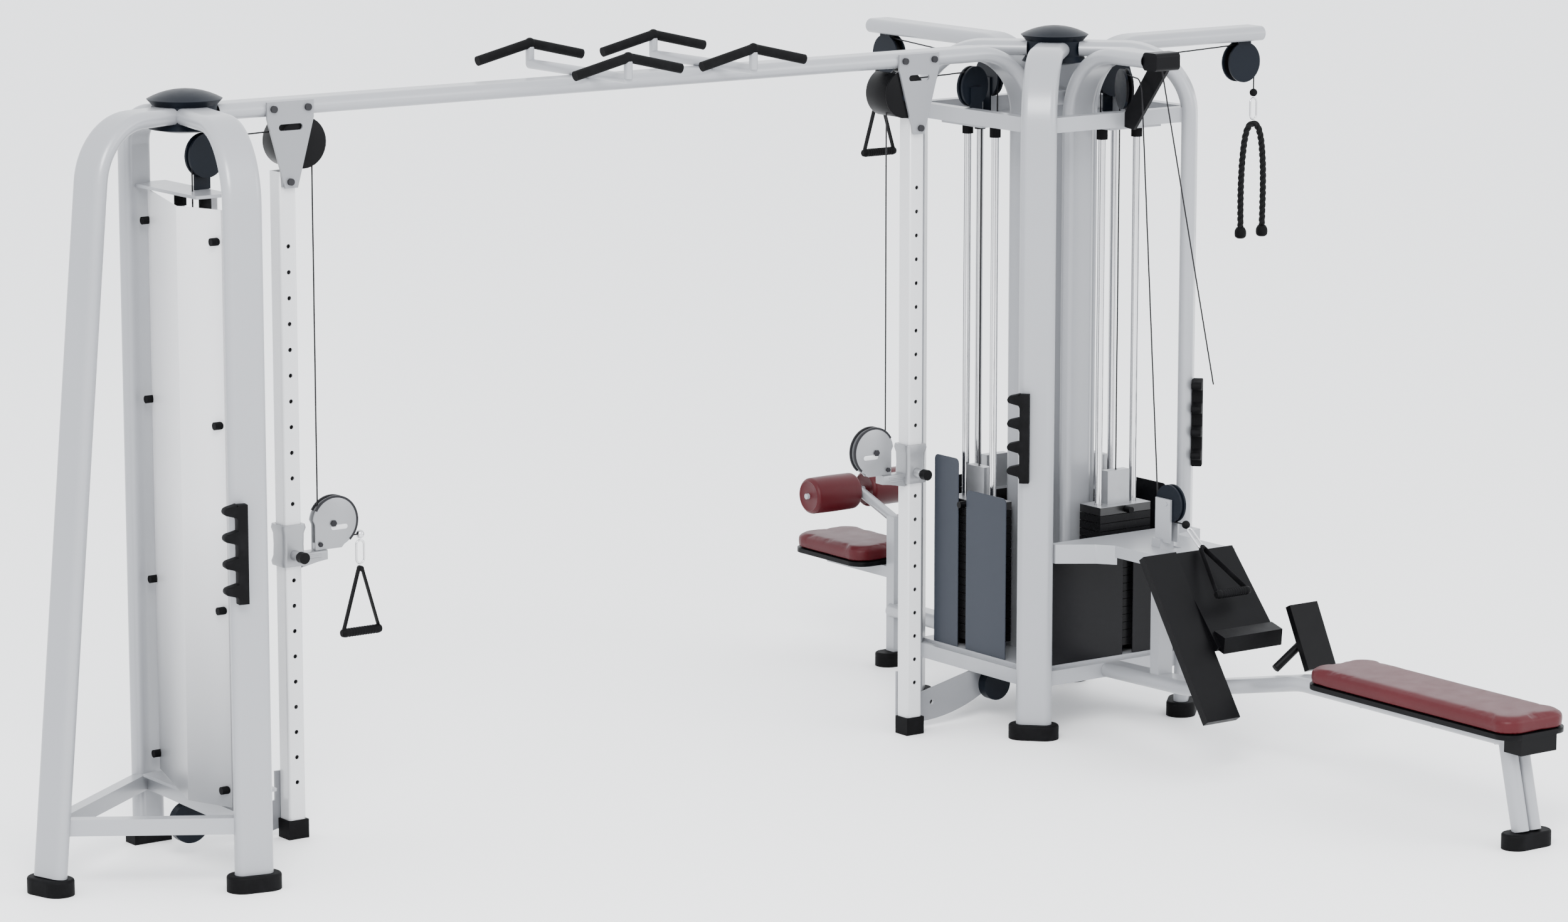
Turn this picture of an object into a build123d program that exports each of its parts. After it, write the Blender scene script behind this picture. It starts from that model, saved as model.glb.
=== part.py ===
from build123d import *
import os
from math import cos, sin, radians, hypot, atan2, degrees, tan

# Multi-station cable gym: a four-legged core with four weight stacks, a single-stack
# tower, and a crossover beam between them. Millimetres, +Z up.
# The design frame has the core's centre line at x = y = 0 and the floor at z = 0,
# +X from the tower to the core, -Y towards the row bench, +Y towards the pulldown seat.

# ---- overall sizes ----
HEIGHT = 2360            # floor to the top of the hub caps
TOWER_X = -3353          # centre line of the tower, from the core's
CORE_HALF = 325          # half the spacing of the core's legs
FOOT_H = 50              # rubber foot height

# ---- frame tube ----
TUBE_W = 120             # flat-oval tube, wide side
TUBE_D = 50              # flat-oval tube, thin side
WALL = 3
BEND = 220               # centre-line radius of the tube bends
ARM_Z = HEIGHT - 75      # centre line of the beam and the arms
POST_R = 130             # the core's centre posts, from its centre line
RAIL_H = 50              # height of the ring tubes
RAIL_W = 40
BASE_Z = 200             # centre of the base rings
RING_Z = 2070            # centre of the core's top ring

# ---- hub caps ----
HUB_WAIST = 98
HUB_RIM = 115
HUB_FLARE = 110

# ---- tower legs, from the tower's centre line ----
FRONT_LEG = (-97, -500)
REAR_POST = (-67, 200)
SIDE_DIR = (-0.958, -0.286)
SIDE_FOOT_R = 640
SIDE_TOP_R = 385

# ---- arm lengths, from the core's centre line ----
ROW_ARM = 525
TRICEPS_ARM = 890
LAT_ARM = 985

# ---- weight stacks ----
PLATE_W = 220
PLATE_D = 110
PLATE_T = 25
PLATE_GAP = 2
PLATES = 17
ROD_R = 12.5
ROD_PITCH = 150
ROD_GAP = 1              # plates and heads run this far clear of the rods
STACK_FLOOR = BASE_Z + RAIL_H / 2 + 10
BUMPER_H = 27
HEAD_T = 28
STEM_R = 12.5
CABLE_R = 2.5
STEM_BORE = 6
PIN_R = 5
RUNNING_FIT = 0.05
PLATE_Z0 = STACK_FLOOR + BUMPER_H
HEAD_Z0 = PLATE_Z0 + PLATES * (PLATE_T + PLATE_GAP)
LABEL_H = 115

# ---- adjustable columns and their carriages ----
COLUMN_W = 60
COLUMN_Y = -20
COLUMN_TOP = 2090
TOWER_COLUMN_X = TOWER_X + 323
CORE_COLUMN_X = -620
HOLE_PITCH = 80
HOLE_R = 7
CARRIAGE_Z = 930
CARRIAGE_H = 130
CARRIAGE_WALL = 12
SLIDE_GAP = 0.5
SWIVEL_OFFSET = 105      # cable line, from the column's centre line
WHEEL_R = 48
WHEEL_W = 14
AXLE_R = 6
CHEEK_T = 5
CHEEK_GAP = 2            # between a wheel and each cheek
ARM_PLATE_T = 35
PIVOT_R = 11

# ---- row station ----
ROW_WHEEL_R = 65
ROW_WHEEL = (-640, 816)              # y, z of the low pulley
SHELF_Z0, SHELF_Z1 = 600, 665
SEAT_TOP = 420
PAD_T = 48
PAN_T = 16
BENCH_W = 290
BENCH_Y0, BENCH_Y1 = -1450, -2420
RAIL_MID = SEAT_TOP - PAD_T - PAN_T - TUBE_D / 2

# ---- pulldown station ----
LAT_SEAT_Y0, LAT_SEAT_Y1 = 910, 1340
LAT_POST_Y = 870
ROLLER_Y, ROLLER_Z = 1100, 600
ROLLER_R = 65
ROLLER_LEN = 200
ROLLER_AXLE_R = 10

# ---- arm-end pulleys ----
END_WHEEL_W = 26
HUB_SPACE = 0.3          # side gap between a moving part and a fixed one


def block(x0, x1, y0, y1, z0, z1):
    return Pos((x0 + x1) / 2, (y0 + y1) / 2, (z0 + z1) / 2) * Box(abs(x1 - x0), abs(y1 - y0), z1 - z0)


def rod_z(x, y, z0, z1, r):
    return Pos(x, y, (z0 + z1) / 2) * Cylinder(r, z1 - z0)


def rod_x(y, z, x0, x1, r):
    return Pos((x0 + x1) / 2, y, z) * Rot(0, 90, 0) * Cylinder(r, abs(x1 - x0))


def rod_y(x, z, y0, y1, r):
    return Pos(x, (y0 + y1) / 2, z) * Rot(90, 0, 0) * Cylinder(r, abs(y1 - y0))


def rod_between(a, b, r):
    a, b = Vector(*a), Vector(*b)
    return Plane(origin=(a + b) / 2, z_dir=b - a) * Cylinder(r, (b - a).length)


def oval_pad(x, y, z0, z1, length, width, angle=0, edge=8):
    """A flat-oval pad with a rounded top edge, turned by angle about Z."""
    pad = extrude(SlotOverall(length, width), z1 - z0)
    pad = fillet(pad.edges().group_by(Axis.Z)[-1], edge)
    return Pos(x, y, z0) * Rot(0, 0, angle) * pad


def oval_tube(points, radius, width_dir, width=TUBE_W, depth=TUBE_D, wall=WALL):
    """A flat-oval tube along straight runs joined by tangent bends. wall=0 gives it solid."""
    path = FilletPolyline(*points, radius=radius) if len(points) > 2 else Polyline(*points)
    start = Vector(*points[0])
    section = SlotOverall(width, depth)
    if wall:
        section = section - SlotOverall(width - 2 * wall, depth - 2 * wall)
    plane = Plane(origin=start, x_dir=Vector(*width_dir), z_dir=Vector(*points[1]) - start)
    return sweep(plane * section, path=path)


def box_tube(x0, x1, y0, y1, z0, z1, wall=WALL):
    """A rectangular tube along its longer side in plan, open at its ends."""
    if abs(x1 - x0) > abs(y1 - y0):
        hollow = block(x0, x1, y0 + wall, y1 - wall, z0 + wall, z1 - wall)
    else:
        hollow = block(x0 + wall, x1 - wall, y0, y1, z0 + wall, z1 - wall)
    return block(x0, x1, y0, y1, z0, z1) - hollow


def cut(shape, *tools):
    for tool in tools:
        shape = shape - tool
    return shape


def merge(*shapes):
    whole = shapes[0]
    for shape in shapes[1:]:
        whole = whole + shape
    return whole


def side_plate(sketch, y0, y1):
    """A plate between y0 and y1 from a sketch whose local x, y are the model's x, z."""
    return extrude(Plane.XZ.offset(-y1) * sketch, y1 - y0)


def end_plate(sketch, x0, x1):
    """A plate between x0 and x1 from a sketch whose local x, y are the model's y, z."""
    return extrude(Plane.YZ.offset(x0) * sketch, x1 - x0)


def outline(*points):
    return make_face(Polyline(*points, close=True))


nodes = {}


# ---- hubs, legs and posts ----
def hub(x):
    rim_z = HEIGHT - 30
    low_z = ARM_Z - 54
    dome_r = (HUB_RIM ** 2 + 30 ** 2) / 60
    half = HUB_RIM / 2
    mid_z = HEIGHT - dome_r + (dome_r ** 2 - half ** 2) ** 0.5
    profile = Polyline((0, 0, low_z), (60, 0, low_z), (HUB_FLARE, 0, ARM_Z - 44),
                       (HUB_WAIST, 0, ARM_Z - 26), (HUB_WAIST, 0, ARM_Z + 26), (HUB_RIM, 0, rim_z))
    dome = ThreePointArc((HUB_RIM, 0, rim_z), (half, 0, mid_z), (0, 0, HEIGHT))
    axis_line = Line((0, 0, HEIGHT), (0, 0, low_z))
    return Pos(x, 0, 0) * revolve(make_face([profile, dome, axis_line]), axis=Axis.Z)


core_hub, tower_hub = hub(0), hub(TOWER_X)
nodes["hub_caps"] = Compound([core_hub, tower_hub])


def leg(foot, top, centre_x, wall=WALL):
    """A leg from its foot, bent over at the top to run in to the hub at centre_x."""
    reach = hypot(top[0] - centre_x, top[1])
    ux, uy = (top[0] - centre_x) / reach, top[1] / reach
    end = (centre_x + ux * (HUB_WAIST - 10), uy * (HUB_WAIST - 10), ARM_Z)
    points = [(foot[0], foot[1], FOOT_H), (top[0], top[1], ARM_Z), end]
    radius = min(BEND, 0.5 * reach)
    return oval_tube(points, radius, (-uy, ux, 0), wall=wall)


corners = {"near": (-1, -1), "right": (1, -1), "left": (-1, 1), "rear": (1, 1)}
leg_at = {name: (sx * CORE_HALF, sy * CORE_HALF) for name, (sx, sy) in corners.items()}
leg_space = {name: leg(p, p, 0, wall=0) for name, p in leg_at.items()}
nodes["core_legs"] = Compound([leg(p, p, 0) - core_hub for p in leg_at.values()])

front_at = (TOWER_X + FRONT_LEG[0], FRONT_LEG[1])
rear_at = (TOWER_X + REAR_POST[0], REAR_POST[1])
side_foot = (TOWER_X + SIDE_DIR[0] * SIDE_FOOT_R, SIDE_DIR[1] * SIDE_FOOT_R)
side_top = (TOWER_X + SIDE_DIR[0] * SIDE_TOP_R, SIDE_DIR[1] * SIDE_TOP_R)
tower_legs = {"tower_leg_front": (front_at, front_at), "tower_leg_side": (side_foot, side_top),
              "tower_rear_post": (rear_at, rear_at)}
tower_space = {name: leg(foot, top, TOWER_X, wall=0) for name, (foot, top) in tower_legs.items()}
taken = [tower_hub]
ground_span = (TOWER_X - 900, TOWER_X + 400, -700, 400, -50, FOOT_H)
for name, (foot, top) in tower_legs.items():
    nodes[name] = cut(leg(foot, top, TOWER_X), *taken, block(*ground_span))
    taken.append(tower_space[name])


# ---- arms and the crossover beam: each rises from a centre post and bends outward ----
def arm(direction, length, wall=WALL):
    dx, dy = direction
    post = (dx * POST_R, dy * POST_R)
    points = [(*post, BASE_Z + RAIL_H / 2 + 10), (*post, ARM_Z), (dx * length, dy * length, ARM_Z)]
    return oval_tube(points, BEND, (-dy, dx, 0), wall=wall)


arm_lengths = {"row_arm": ((0, -1), ROW_ARM), "triceps_arm": ((1, 0), TRICEPS_ARM),
               "lat_arm": ((0, 1), LAT_ARM)}
for name, (direction, length) in arm_lengths.items():
    nodes[name] = arm(direction, length)
beam_length = -TOWER_X - HUB_WAIST + 10


# ---- chin-up grips on the beam ----
CHIN_X = (-1930, -1450)
CHIN_Y = 280
CHIN_Z = ARM_Z + 105
CHIN_DROP = 46
CHIN_SPAN = 200


def chin_frame(x):
    """A cross tube over the beam with an upright at each end that carries a pair of grips."""
    z = ARM_Z + TUBE_D / 2 + 14
    cross = rod_y(x, z, -CHIN_Y, CHIN_Y, 16)
    ends = [rod_z(x, side * CHIN_Y, z, CHIN_Z, 14) for side in (-1, 1)]
    return merge(cross, *ends)


chin_frames = [chin_frame(x) for x in CHIN_X]
beam = merge(arm((-1, 0), beam_length), *chin_frames)
beam = cut(beam, tower_hub, *[tower_space[n] for n in tower_legs])
nodes["crossover_beam"] = beam


def grip_pair(x, y):
    apex = (x, y, CHIN_Z)
    arms = [rod_between(apex, (x + side * CHIN_SPAN, y, CHIN_Z - CHIN_DROP), 16) for side in (-1, 1)]
    return merge(*arms, Pos(*apex) * Sphere(18))


grips = [grip_pair(x, side * CHIN_Y) for x in CHIN_X for side in (-1, 1)]
nodes["grip_bars"] = Compound([cut(g, *chin_frames) for g in grips])


# ---- base rings and the core's top ring ----
def square_ring(half, z_mid):
    low, high = z_mid - RAIL_H / 2, z_mid + RAIL_H / 2
    w = RAIL_W / 2
    rails = [box_tube(-half, half, s * half - w, s * half + w, low, high) for s in (-1, 1)]
    span = half - w
    rails += [box_tube(s * half - w, s * half + w, -span, span, low, high) for s in (-1, 1)]
    return rails


stacks = {
    "row": ((90, -240), (0, -1)),
    "crossover": ((-240, 90), (-1, 0)),
    "lat": ((-50, 245), (0, 1)),
    "triceps": ((245, 50), (1, 0)),
    "tower": ((TOWER_X - 30, -90), (1, 0)),
}


def stack_box(name, z0, z1, grow=0.0, outward=0.0):
    """A box on a stack's footprint, grown all round and reaching outward on its front side."""
    (cx, cy), (fx, fy) = stacks[name]
    w, d = PLATE_W / 2 + grow, PLATE_D / 2 + grow
    if fy:
        y0, y1 = sorted((cy - fy * d, cy + fy * (d + outward)))
        return block(cx - w, cx + w, y0, y1, z0, z1)
    x0, x1 = sorted((cx - fx * d, cx + fx * (d + outward)))
    return block(x0, x1, cy - w, cy + w, z0, z1)


def rod_places(name):
    (cx, cy), (fx, fy) = stacks[name]
    return [(cx + s * fy * ROD_PITCH / 2, cy + s * fx * ROD_PITCH / 2) for s in (-1, 1)]


core_stacks = [name for name in stacks if name != "tower"]
floor_plate = block(-CORE_HALF + 10, CORE_HALF - 10, -CORE_HALF + 10, CORE_HALF - 10,
                    STACK_FLOOR - 10, STACK_FLOOR)
core_base = merge(*square_ring(CORE_HALF, BASE_Z), floor_plate)
core_base = cut(core_base, *leg_space.values())


def tie(a, b, z_mid, trims):
    """A rectangular tube between two plan points, trimmed to what it meets."""
    length = hypot(b[0] - a[0], b[1] - a[1])
    tube = box_tube(-length / 2, length / 2, -RAIL_W / 2, RAIL_W / 2, -RAIL_H / 2, RAIL_H / 2)
    angle = degrees(atan2(b[1] - a[1], b[0] - a[0]))
    tube = Pos((a[0] + b[0]) / 2, (a[1] + b[1]) / 2, z_mid) * Rot(0, 0, angle) * tube
    return cut(tube, *trims)


lean = (BASE_Z - FOOT_H) / (ARM_Z - FOOT_H)
side_at_base = (side_foot[0] + (side_top[0] - side_foot[0]) * lean,
                side_foot[1] + (side_top[1] - side_foot[1]) * lean)
trims = list(tower_space.values())
tower_floor = block(TOWER_X - 120, TOWER_X + 120, -270, 130, STACK_FLOOR - 10, STACK_FLOOR)
front_to_side = tie(side_at_base, front_at, BASE_Z, trims)
side_to_rear = tie(side_at_base, rear_at, BASE_Z, trims)
rear_to_front = tie(rear_at, front_at, BASE_Z, trims)
tower_base = merge(rear_to_front, cut(tower_floor, *trims))
nodes["base_frames"] = Compound([core_base, merge(tower_base, front_to_side, side_to_rear)])

ring = merge(*square_ring(CORE_HALF, RING_Z),
             *[stack_box(n, RING_Z - RAIL_H / 2 - 10, RING_Z - RAIL_H / 2, 0, 30) for n in core_stacks])
nodes["core_top_ring"] = cut(ring, *leg_space.values())


TOWER_TOP_Z = 2050
rod_bridge = block(TOWER_X - 80, TOWER_X + 40, -200, REAR_POST[1], TOWER_TOP_Z, TOWER_TOP_Z + 10)
cable_gap = rod_z(*stacks["tower"][0], TOWER_TOP_Z - 1, TOWER_TOP_Z + 11, STEM_BORE)
bridge_trim = cut(rod_bridge, tower_space["tower_rear_post"], cable_gap)
nodes["tower_rear_post"] = merge(nodes["tower_rear_post"], bridge_trim)

# ---- feet ----
def foot_at(x, y, angle, length=170, width=100):
    return oval_pad(x, y, 0, FOOT_H, length, width, angle)


feet = [foot_at(x, y, degrees(atan2(-x, y))) for x, y in leg_at.values()]
feet.append(foot_at(*front_at, degrees(atan2(-FRONT_LEG[0], FRONT_LEG[1]))))
feet.append(foot_at(*side_foot, degrees(atan2(-SIDE_DIR[0], SIDE_DIR[1])), 160))
feet.append(block(rear_at[0] - 65, rear_at[0] + 65, rear_at[1] - 30, rear_at[1] + 30, 0, FOOT_H))
BENCH_LEG_Y = -2290
BENCH_FOOT_Y = -2360
feet.append(foot_at(0, BENCH_FOOT_Y, 0, 180, 90))
feet.append(foot_at(0, LAT_POST_Y, 0, 170, 90))


# ---- weight stacks, rods and heads ----
def stack_plates(name):
    holes = [rod_z(x, y, PLATE_Z0 - 5, HEAD_Z0 + 5, ROD_R + ROD_GAP) for x, y in rod_places(name)]
    (cx, cy), _ = stacks[name]
    holes.append(rod_z(cx, cy, PLATE_Z0 - 5, HEAD_Z0 + 5, STEM_R + ROD_GAP))
    plates = []
    for i in range(PLATES):
        z = PLATE_Z0 + i * (PLATE_T + PLATE_GAP)
        plates.append(cut(stack_box(name, z, z + PLATE_T), *holes))
    return plates


nodes["weight_plates"] = Compound([plate for name in stacks for plate in stack_plates(name)])

rod_top = {name: RING_Z - RAIL_H / 2 - 10 for name in core_stacks}
rod_top["tower"] = TOWER_TOP_Z
nodes["guide_rods"] = Compound([rod_z(x, y, STACK_FLOOR, rod_top[name], ROD_R)
                                for name in stacks for x, y in rod_places(name)])
COLLAR_H = 40
bumpers = []
for name in stacks:
    for x, y in rod_places(name):
        bumpers.append(cut(rod_z(x, y, STACK_FLOOR, PLATE_Z0 - PLATE_GAP, 24), rod_z(x, y, 0, 900, ROD_R)))
        top = rod_top[name]
        bumpers.append(cut(rod_z(x, y, top - COLLAR_H, top, 19), rod_z(x, y, top - 99, top + 9, ROD_R)))


def facing(name, forward, across, z):
    """A point on a stack: forward towards its front, across to its side."""
    (cx, cy), (fx, fy) = stacks[name]
    return (cx + fx * forward - fy * across, cy + fy * forward + fx * across, z)


def pin_solid(name, extra):
    z = HEAD_Z0 + HEAD_T / 2
    return rod_between(facing(name, STEM_R + 4, 0, z), facing(name, PLATE_D / 2 + 14, 0, z), PIN_R + extra)


def stack_head(name):
    top = HEAD_Z0 + HEAD_T
    head = stack_box(name, HEAD_Z0, top)
    (cx, cy), (fx, fy) = stacks[name]
    label = (Pos(*facing(name, 0, 0, top + LABEL_H / 2 - 1))
             * Rot(0, 0, degrees(atan2(fx, -fy))) * Box(95, 34, LABEL_H))
    stem = rod_z(cx, cy, PLATE_Z0 + 10, HEAD_Z0 + 5, STEM_R)
    head = merge(head, label, stem)
    rods = [rod_z(x, y, 0, 1900, ROD_R + ROD_GAP) for x, y in rod_places(name)]
    return cut(head, *rods, rod_z(cx, cy, 0, 1900, STEM_BORE), pin_solid(name, RUNNING_FIT))


def selector_pin(name):
    z = HEAD_Z0 + HEAD_T / 2
    knob = rod_between(facing(name, PLATE_D / 2 + 1, 0, z), facing(name, PLATE_D / 2 + 32, 0, z), 11)
    return merge(pin_solid(name, 0), knob)


for name in stacks:
    nodes[f"{name}_stack_head"] = stack_head(name)
    nodes[f"{name}_selector_pin"] = selector_pin(name)


# ---- adjustable columns ----
def column(x):
    outer = extrude(RectangleRounded(COLUMN_W, COLUMN_W, 8), COLUMN_TOP - 60)
    inner = extrude(RectangleRounded(COLUMN_W - 8, COLUMN_W - 8, 5), COLUMN_TOP - 60)
    tube = Pos(x, COLUMN_Y, 60) * (outer - inner)
    count = int((COLUMN_TOP - 330) / HOLE_PITCH)
    front = COLUMN_Y - COLUMN_W / 2
    holes = [rod_y(x, CARRIAGE_Z - 30 + (i - int(count * 0.42)) * HOLE_PITCH, front - 5, front + 8, HOLE_R)
             for i in range(count)]
    return cut(tube, *holes)


column_xs = {"tower": (TOWER_COLUMN_X, 1), "core": (CORE_COLUMN_X, -1)}
nodes["adjust_columns"] = Compound([column(x) for x, _ in column_xs.values()])


def top_bracket(x, side):
    """The triangular plate that hangs a column from the beam, with a slot under the beam."""
    mid_x = x + side * 5
    top, shoulder = ARM_Z + 22, ARM_Z - 30
    shape = outline((mid_x - BRACKET_HALF, top), (mid_x + BRACKET_HALF, top), (mid_x + BRACKET_HALF, shoulder),
                    (mid_x + BRACKET_TIP, BRACKET_LOW), (mid_x - BRACKET_TIP, BRACKET_LOW),
                    (mid_x - BRACKET_HALF, shoulder))
    slot = Pos(mid_x, ARM_Z - 58) * SlotOverall(84, 20)
    plate = side_plate(shape - slot, -TUBE_W / 2 - BRACKET_T, -TUBE_W / 2)
    spacer = block(x - BRACKET_TIP, x + BRACKET_TIP, -TUBE_W / 2, COLUMN_Y - COLUMN_W / 2,
                   BRACKET_LOW + 4, COLUMN_TOP - 6)
    return merge(plate, spacer)


BRACKET_HALF = 82
BRACKET_TIP = 22
BRACKET_LOW = COLUMN_TOP - 50
BRACKET_T = 8
GUSSET_Z0 = 25


def foot_gusset(x, end_x, join_z):
    """The curved plate from a column's foot to a base frame, with a bolt hole."""
    back = COLUMN_Y + COLUMN_W / 2
    s = 1 if end_x > x else -1
    near, far = x - s * COLUMN_W / 2, end_x
    edges = [Line((near, GUSSET_Z0), (x + s * 40, GUSSET_Z0)),
             ThreePointArc((x + s * 40, GUSSET_Z0), ((x + far) / 2 + s * 60, 52), (far, join_z - 60)),
             Line((far, join_z - 60), (far, join_z)), Line((far, join_z), (far - s * 90, join_z)),
             ThreePointArc((far - s * 90, join_z), (x + s * 130, 138), (x + s * 45, 118)),
             Line((x + s * 45, 118), (x + s * 45, 210)), Line((x + s * 45, 210), (near, 210)),
             Line((near, 210), (near, GUSSET_Z0))]
    shape = make_face(edges) - Pos(x + s * 120, 85) * Circle(9)
    return side_plate(shape, back, back + BRACKET_T)


CORE_GUSSET_X = -235
TOWER_GUSSET_X = TOWER_X + 90
brackets = [top_bracket(x, side) for x, side in column_xs.values()]
brackets += [foot_gusset(CORE_COLUMN_X, CORE_GUSSET_X, BASE_Z - RAIL_H / 2),
             foot_gusset(TOWER_COLUMN_X, TOWER_GUSSET_X, STACK_FLOOR - 10)]
nodes["column_brackets"] = Compound(brackets)
for x, _ in column_xs.values():
    feet.append(block(x - 36, x + 36, COLUMN_Y - 36, COLUMN_Y + 29, 0, 60))


# ---- carriages with their swivel pulleys ----
SWIVEL_Z = CARRIAGE_Z - 30 + HUB_SPACE       # underside of the swivel block
WHEEL_Z = CARRIAGE_Z + 50
ARM_HALF = 24
SLEEVE_HALF = COLUMN_W / 2 + SLIDE_GAP + CARRIAGE_WALL
PULL_PIN_Z = CARRIAGE_Z - 30
PULL_PIN_R = 6
PULL_TRAVEL = 12
CHEEK_R = 80


def swivel_axis(x, side):
    return x + side * SWIVEL_OFFSET


def wheel_x(x, side):
    return swivel_axis(x, side) + side * WHEEL_R


def carriage(x, side):
    """A sleeve on the column, a boss for the pull pin and an arm for the swivel."""
    z0, z1 = CARRIAGE_Z - CARRIAGE_H / 2, CARRIAGE_Z + CARRIAGE_H / 2
    sleeve = Pos(x, COLUMN_Y, z0) * extrude(RectangleRounded(2 * SLEEVE_HALF, 2 * SLEEVE_HALF, 14), z1 - z0)
    arm_z0, arm_z1 = SWIVEL_Z - HUB_SPACE - ARM_PLATE_T, SWIVEL_Z - HUB_SPACE
    ax = swivel_axis(x, side)
    bridge = block(x, ax, COLUMN_Y - ARM_HALF, COLUMN_Y + ARM_HALF, arm_z0, arm_z1)
    boss = rod_z(ax, COLUMN_Y, arm_z0, arm_z1, ARM_HALF)
    front = COLUMN_Y - SLEEVE_HALF
    pin_boss = rod_y(x, PULL_PIN_Z, front - 18, front + 4, 16)
    bore = COLUMN_W / 2 + SLIDE_GAP
    passage = block(x - bore, x + bore, COLUMN_Y - bore, COLUMN_Y + bore, z0 - 1, z1 + 1)
    return cut(merge(sleeve, bridge, boss, pin_boss), passage,
               rod_z(ax, COLUMN_Y, arm_z0 - 1, arm_z1 + 1, PIVOT_R + RUNNING_FIT),
               rod_y(x, PULL_PIN_Z, front - 30, COLUMN_Y, PULL_PIN_R + RUNNING_FIT))


def swivel(x, side):
    """Two cheek plates on a pivot, with the wheel's axle between them."""
    ax, wx = swivel_axis(x, side), wheel_x(x, side)
    inner = WHEEL_W / 2 + CHEEK_GAP
    face = Pos(wx + side * 8, WHEEL_Z + 4) * Circle(CHEEK_R)
    x0, x1 = sorted((ax - side * 16, wx + side * 30))
    face = face + outline((x0, SWIVEL_Z), (x1, SWIVEL_Z), (x1, WHEEL_Z), (x0, WHEEL_Z))
    face = face - Pos(wx + side * 22, WHEEL_Z - 14) * SlotOverall(62, 15)
    cheeks = [side_plate(face, COLUMN_Y + s * inner - (CHEEK_T if s < 0 else 0),
                         COLUMN_Y + s * inner + (CHEEK_T if s > 0 else 0)) for s in (-1, 1)]
    foot = block(x0, x1, COLUMN_Y - inner, COLUMN_Y + inner, SWIVEL_Z, WHEEL_Z - WHEEL_R - 9)
    pivot = rod_z(ax, COLUMN_Y, SWIVEL_Z - ARM_PLATE_T - 12, SWIVEL_Z + 2, PIVOT_R)
    washer = rod_z(ax, COLUMN_Y, SWIVEL_Z - ARM_PLATE_T - 14, SWIVEL_Z - ARM_PLATE_T - 2 * HUB_SPACE, 17)
    axle = rod_y(wx, WHEEL_Z, COLUMN_Y - inner - CHEEK_T - 3, COLUMN_Y + inner + CHEEK_T + 3, AXLE_R)
    cable_bore = rod_z(ax, COLUMN_Y, SWIVEL_Z - 2 * ARM_PLATE_T, WHEEL_Z, CABLE_R + 1.5)
    return cut(merge(*cheeks, foot, pivot, washer, axle), cable_bore)


def wheel(radius, width, bore, groove=CABLE_R + 1.2):
    """A grooved wheel about Z; radius is where the cable's centre line runs."""
    half, lip, root = width / 2, radius + 4, radius - CABLE_R - 1
    profile = Polyline((bore, 0, -half), (lip, 0, -half), (lip, 0, -groove - 1.5), (root, 0, -groove),
                       (root, 0, groove), (lip, 0, groove + 1.5), (lip, 0, half), (bore, 0, half), close=True)
    return revolve(make_face(profile), axis=Axis.Z)


def pull_pin(x):
    """The spring pin that locks a carriage, drawn clear of the column by the slide gap."""
    front = COLUMN_Y - SLEEVE_HALF
    tip = COLUMN_Y - COLUMN_W / 2 - SLIDE_GAP
    pin = rod_y(x, PULL_PIN_Z, front - 18 - PULL_TRAVEL - 4, tip, PULL_PIN_R)
    knob = rod_y(x, PULL_PIN_Z, front - 18 - PULL_TRAVEL - 26, front - 18 - PULL_TRAVEL - 2, 18)
    return merge(pin, knob)


for name, (x, side) in column_xs.items():
    nodes[f"{name}_carriage"] = carriage(x, side)
    nodes[f"{name}_swivel"] = swivel(x, side)
    nodes[f"{name}_wheel"] = (Pos(wheel_x(x, side), COLUMN_Y, WHEEL_Z) * Rot(90, 0, 0)
                              * wheel(WHEEL_R, WHEEL_W, AXLE_R + RUNNING_FIT))
    nodes[f"{name}_pull_pin"] = pull_pin(x)


# ---- attachments ----
LINK_R = 3.5
LINK_HALF = 14
STRAP_R = 6
GRIP_R = 15
D_HEIGHT = 200
D_HALF = 66


def link(x, y, z_top, length):
    """An oval snap link in the XZ plane, its outside from z_top down."""
    z0, z1 = z_top - length + LINK_R + LINK_HALF, z_top - LINK_R - LINK_HALF
    ring = Pos(x, y, z1) * Rot(90, 0, 0) * Torus(LINK_HALF, LINK_R)
    upper = ring & block(x - 30, x + 30, y - 10, y + 10, z1, z1 + 40)
    lower = (Pos(x, y, z0) * Rot(90, 0, 0) * Torus(LINK_HALF, LINK_R)) & block(x - 30, x + 30, y - 10, y + 10,
                                                                             z0 - 40, z0)
    sides = [rod_z(x + s * LINK_HALF, y, z0, z1, LINK_R) for s in (-1, 1)]
    return merge(upper, lower, *sides)


def d_handle(x, y, z_apex):
    """A stirrup handle in the XZ plane, its eye at the apex and its grip below."""
    z = z_apex - D_HEIGHT
    straps = [rod_between((x, y, z_apex), (x + s * D_HALF, y, z), STRAP_R) for s in (-1, 1)]
    ends = [Pos(x + s * D_HALF, y, z) * Sphere(STRAP_R + 3) for s in (-1, 1)]
    return merge(Pos(x, y, z_apex) * Sphere(STRAP_R + 3), *straps, *ends, rod_x(y, z, x - D_HALF, x + D_HALF, GRIP_R))


STOP_R = 14
LINK_LEN = 80
tower_stop = (wheel_x(TOWER_COLUMN_X, 1) + CHEEK_R + 24, COLUMN_Y, WHEEL_Z - WHEEL_R)
link_top = tower_stop[2] - STOP_R - 2
nodes["tower_carabiner"] = Compound([link(tower_stop[0], tower_stop[1], link_top, LINK_LEN),
                                    Pos(*tower_stop) * Sphere(STOP_R)])
nodes["tower_handle"] = d_handle(tower_stop[0], tower_stop[1], link_top - LINK_LEN - 12)


# ---- arm-end pulleys of the triceps and pulldown arms ----
CABLE_TOP = ARM_Z - 70                     # height of the cables over the stacks
END_R = 60                           # cable radius on the end wheels
COVER_T = 6
COVER_R = 70


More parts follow.
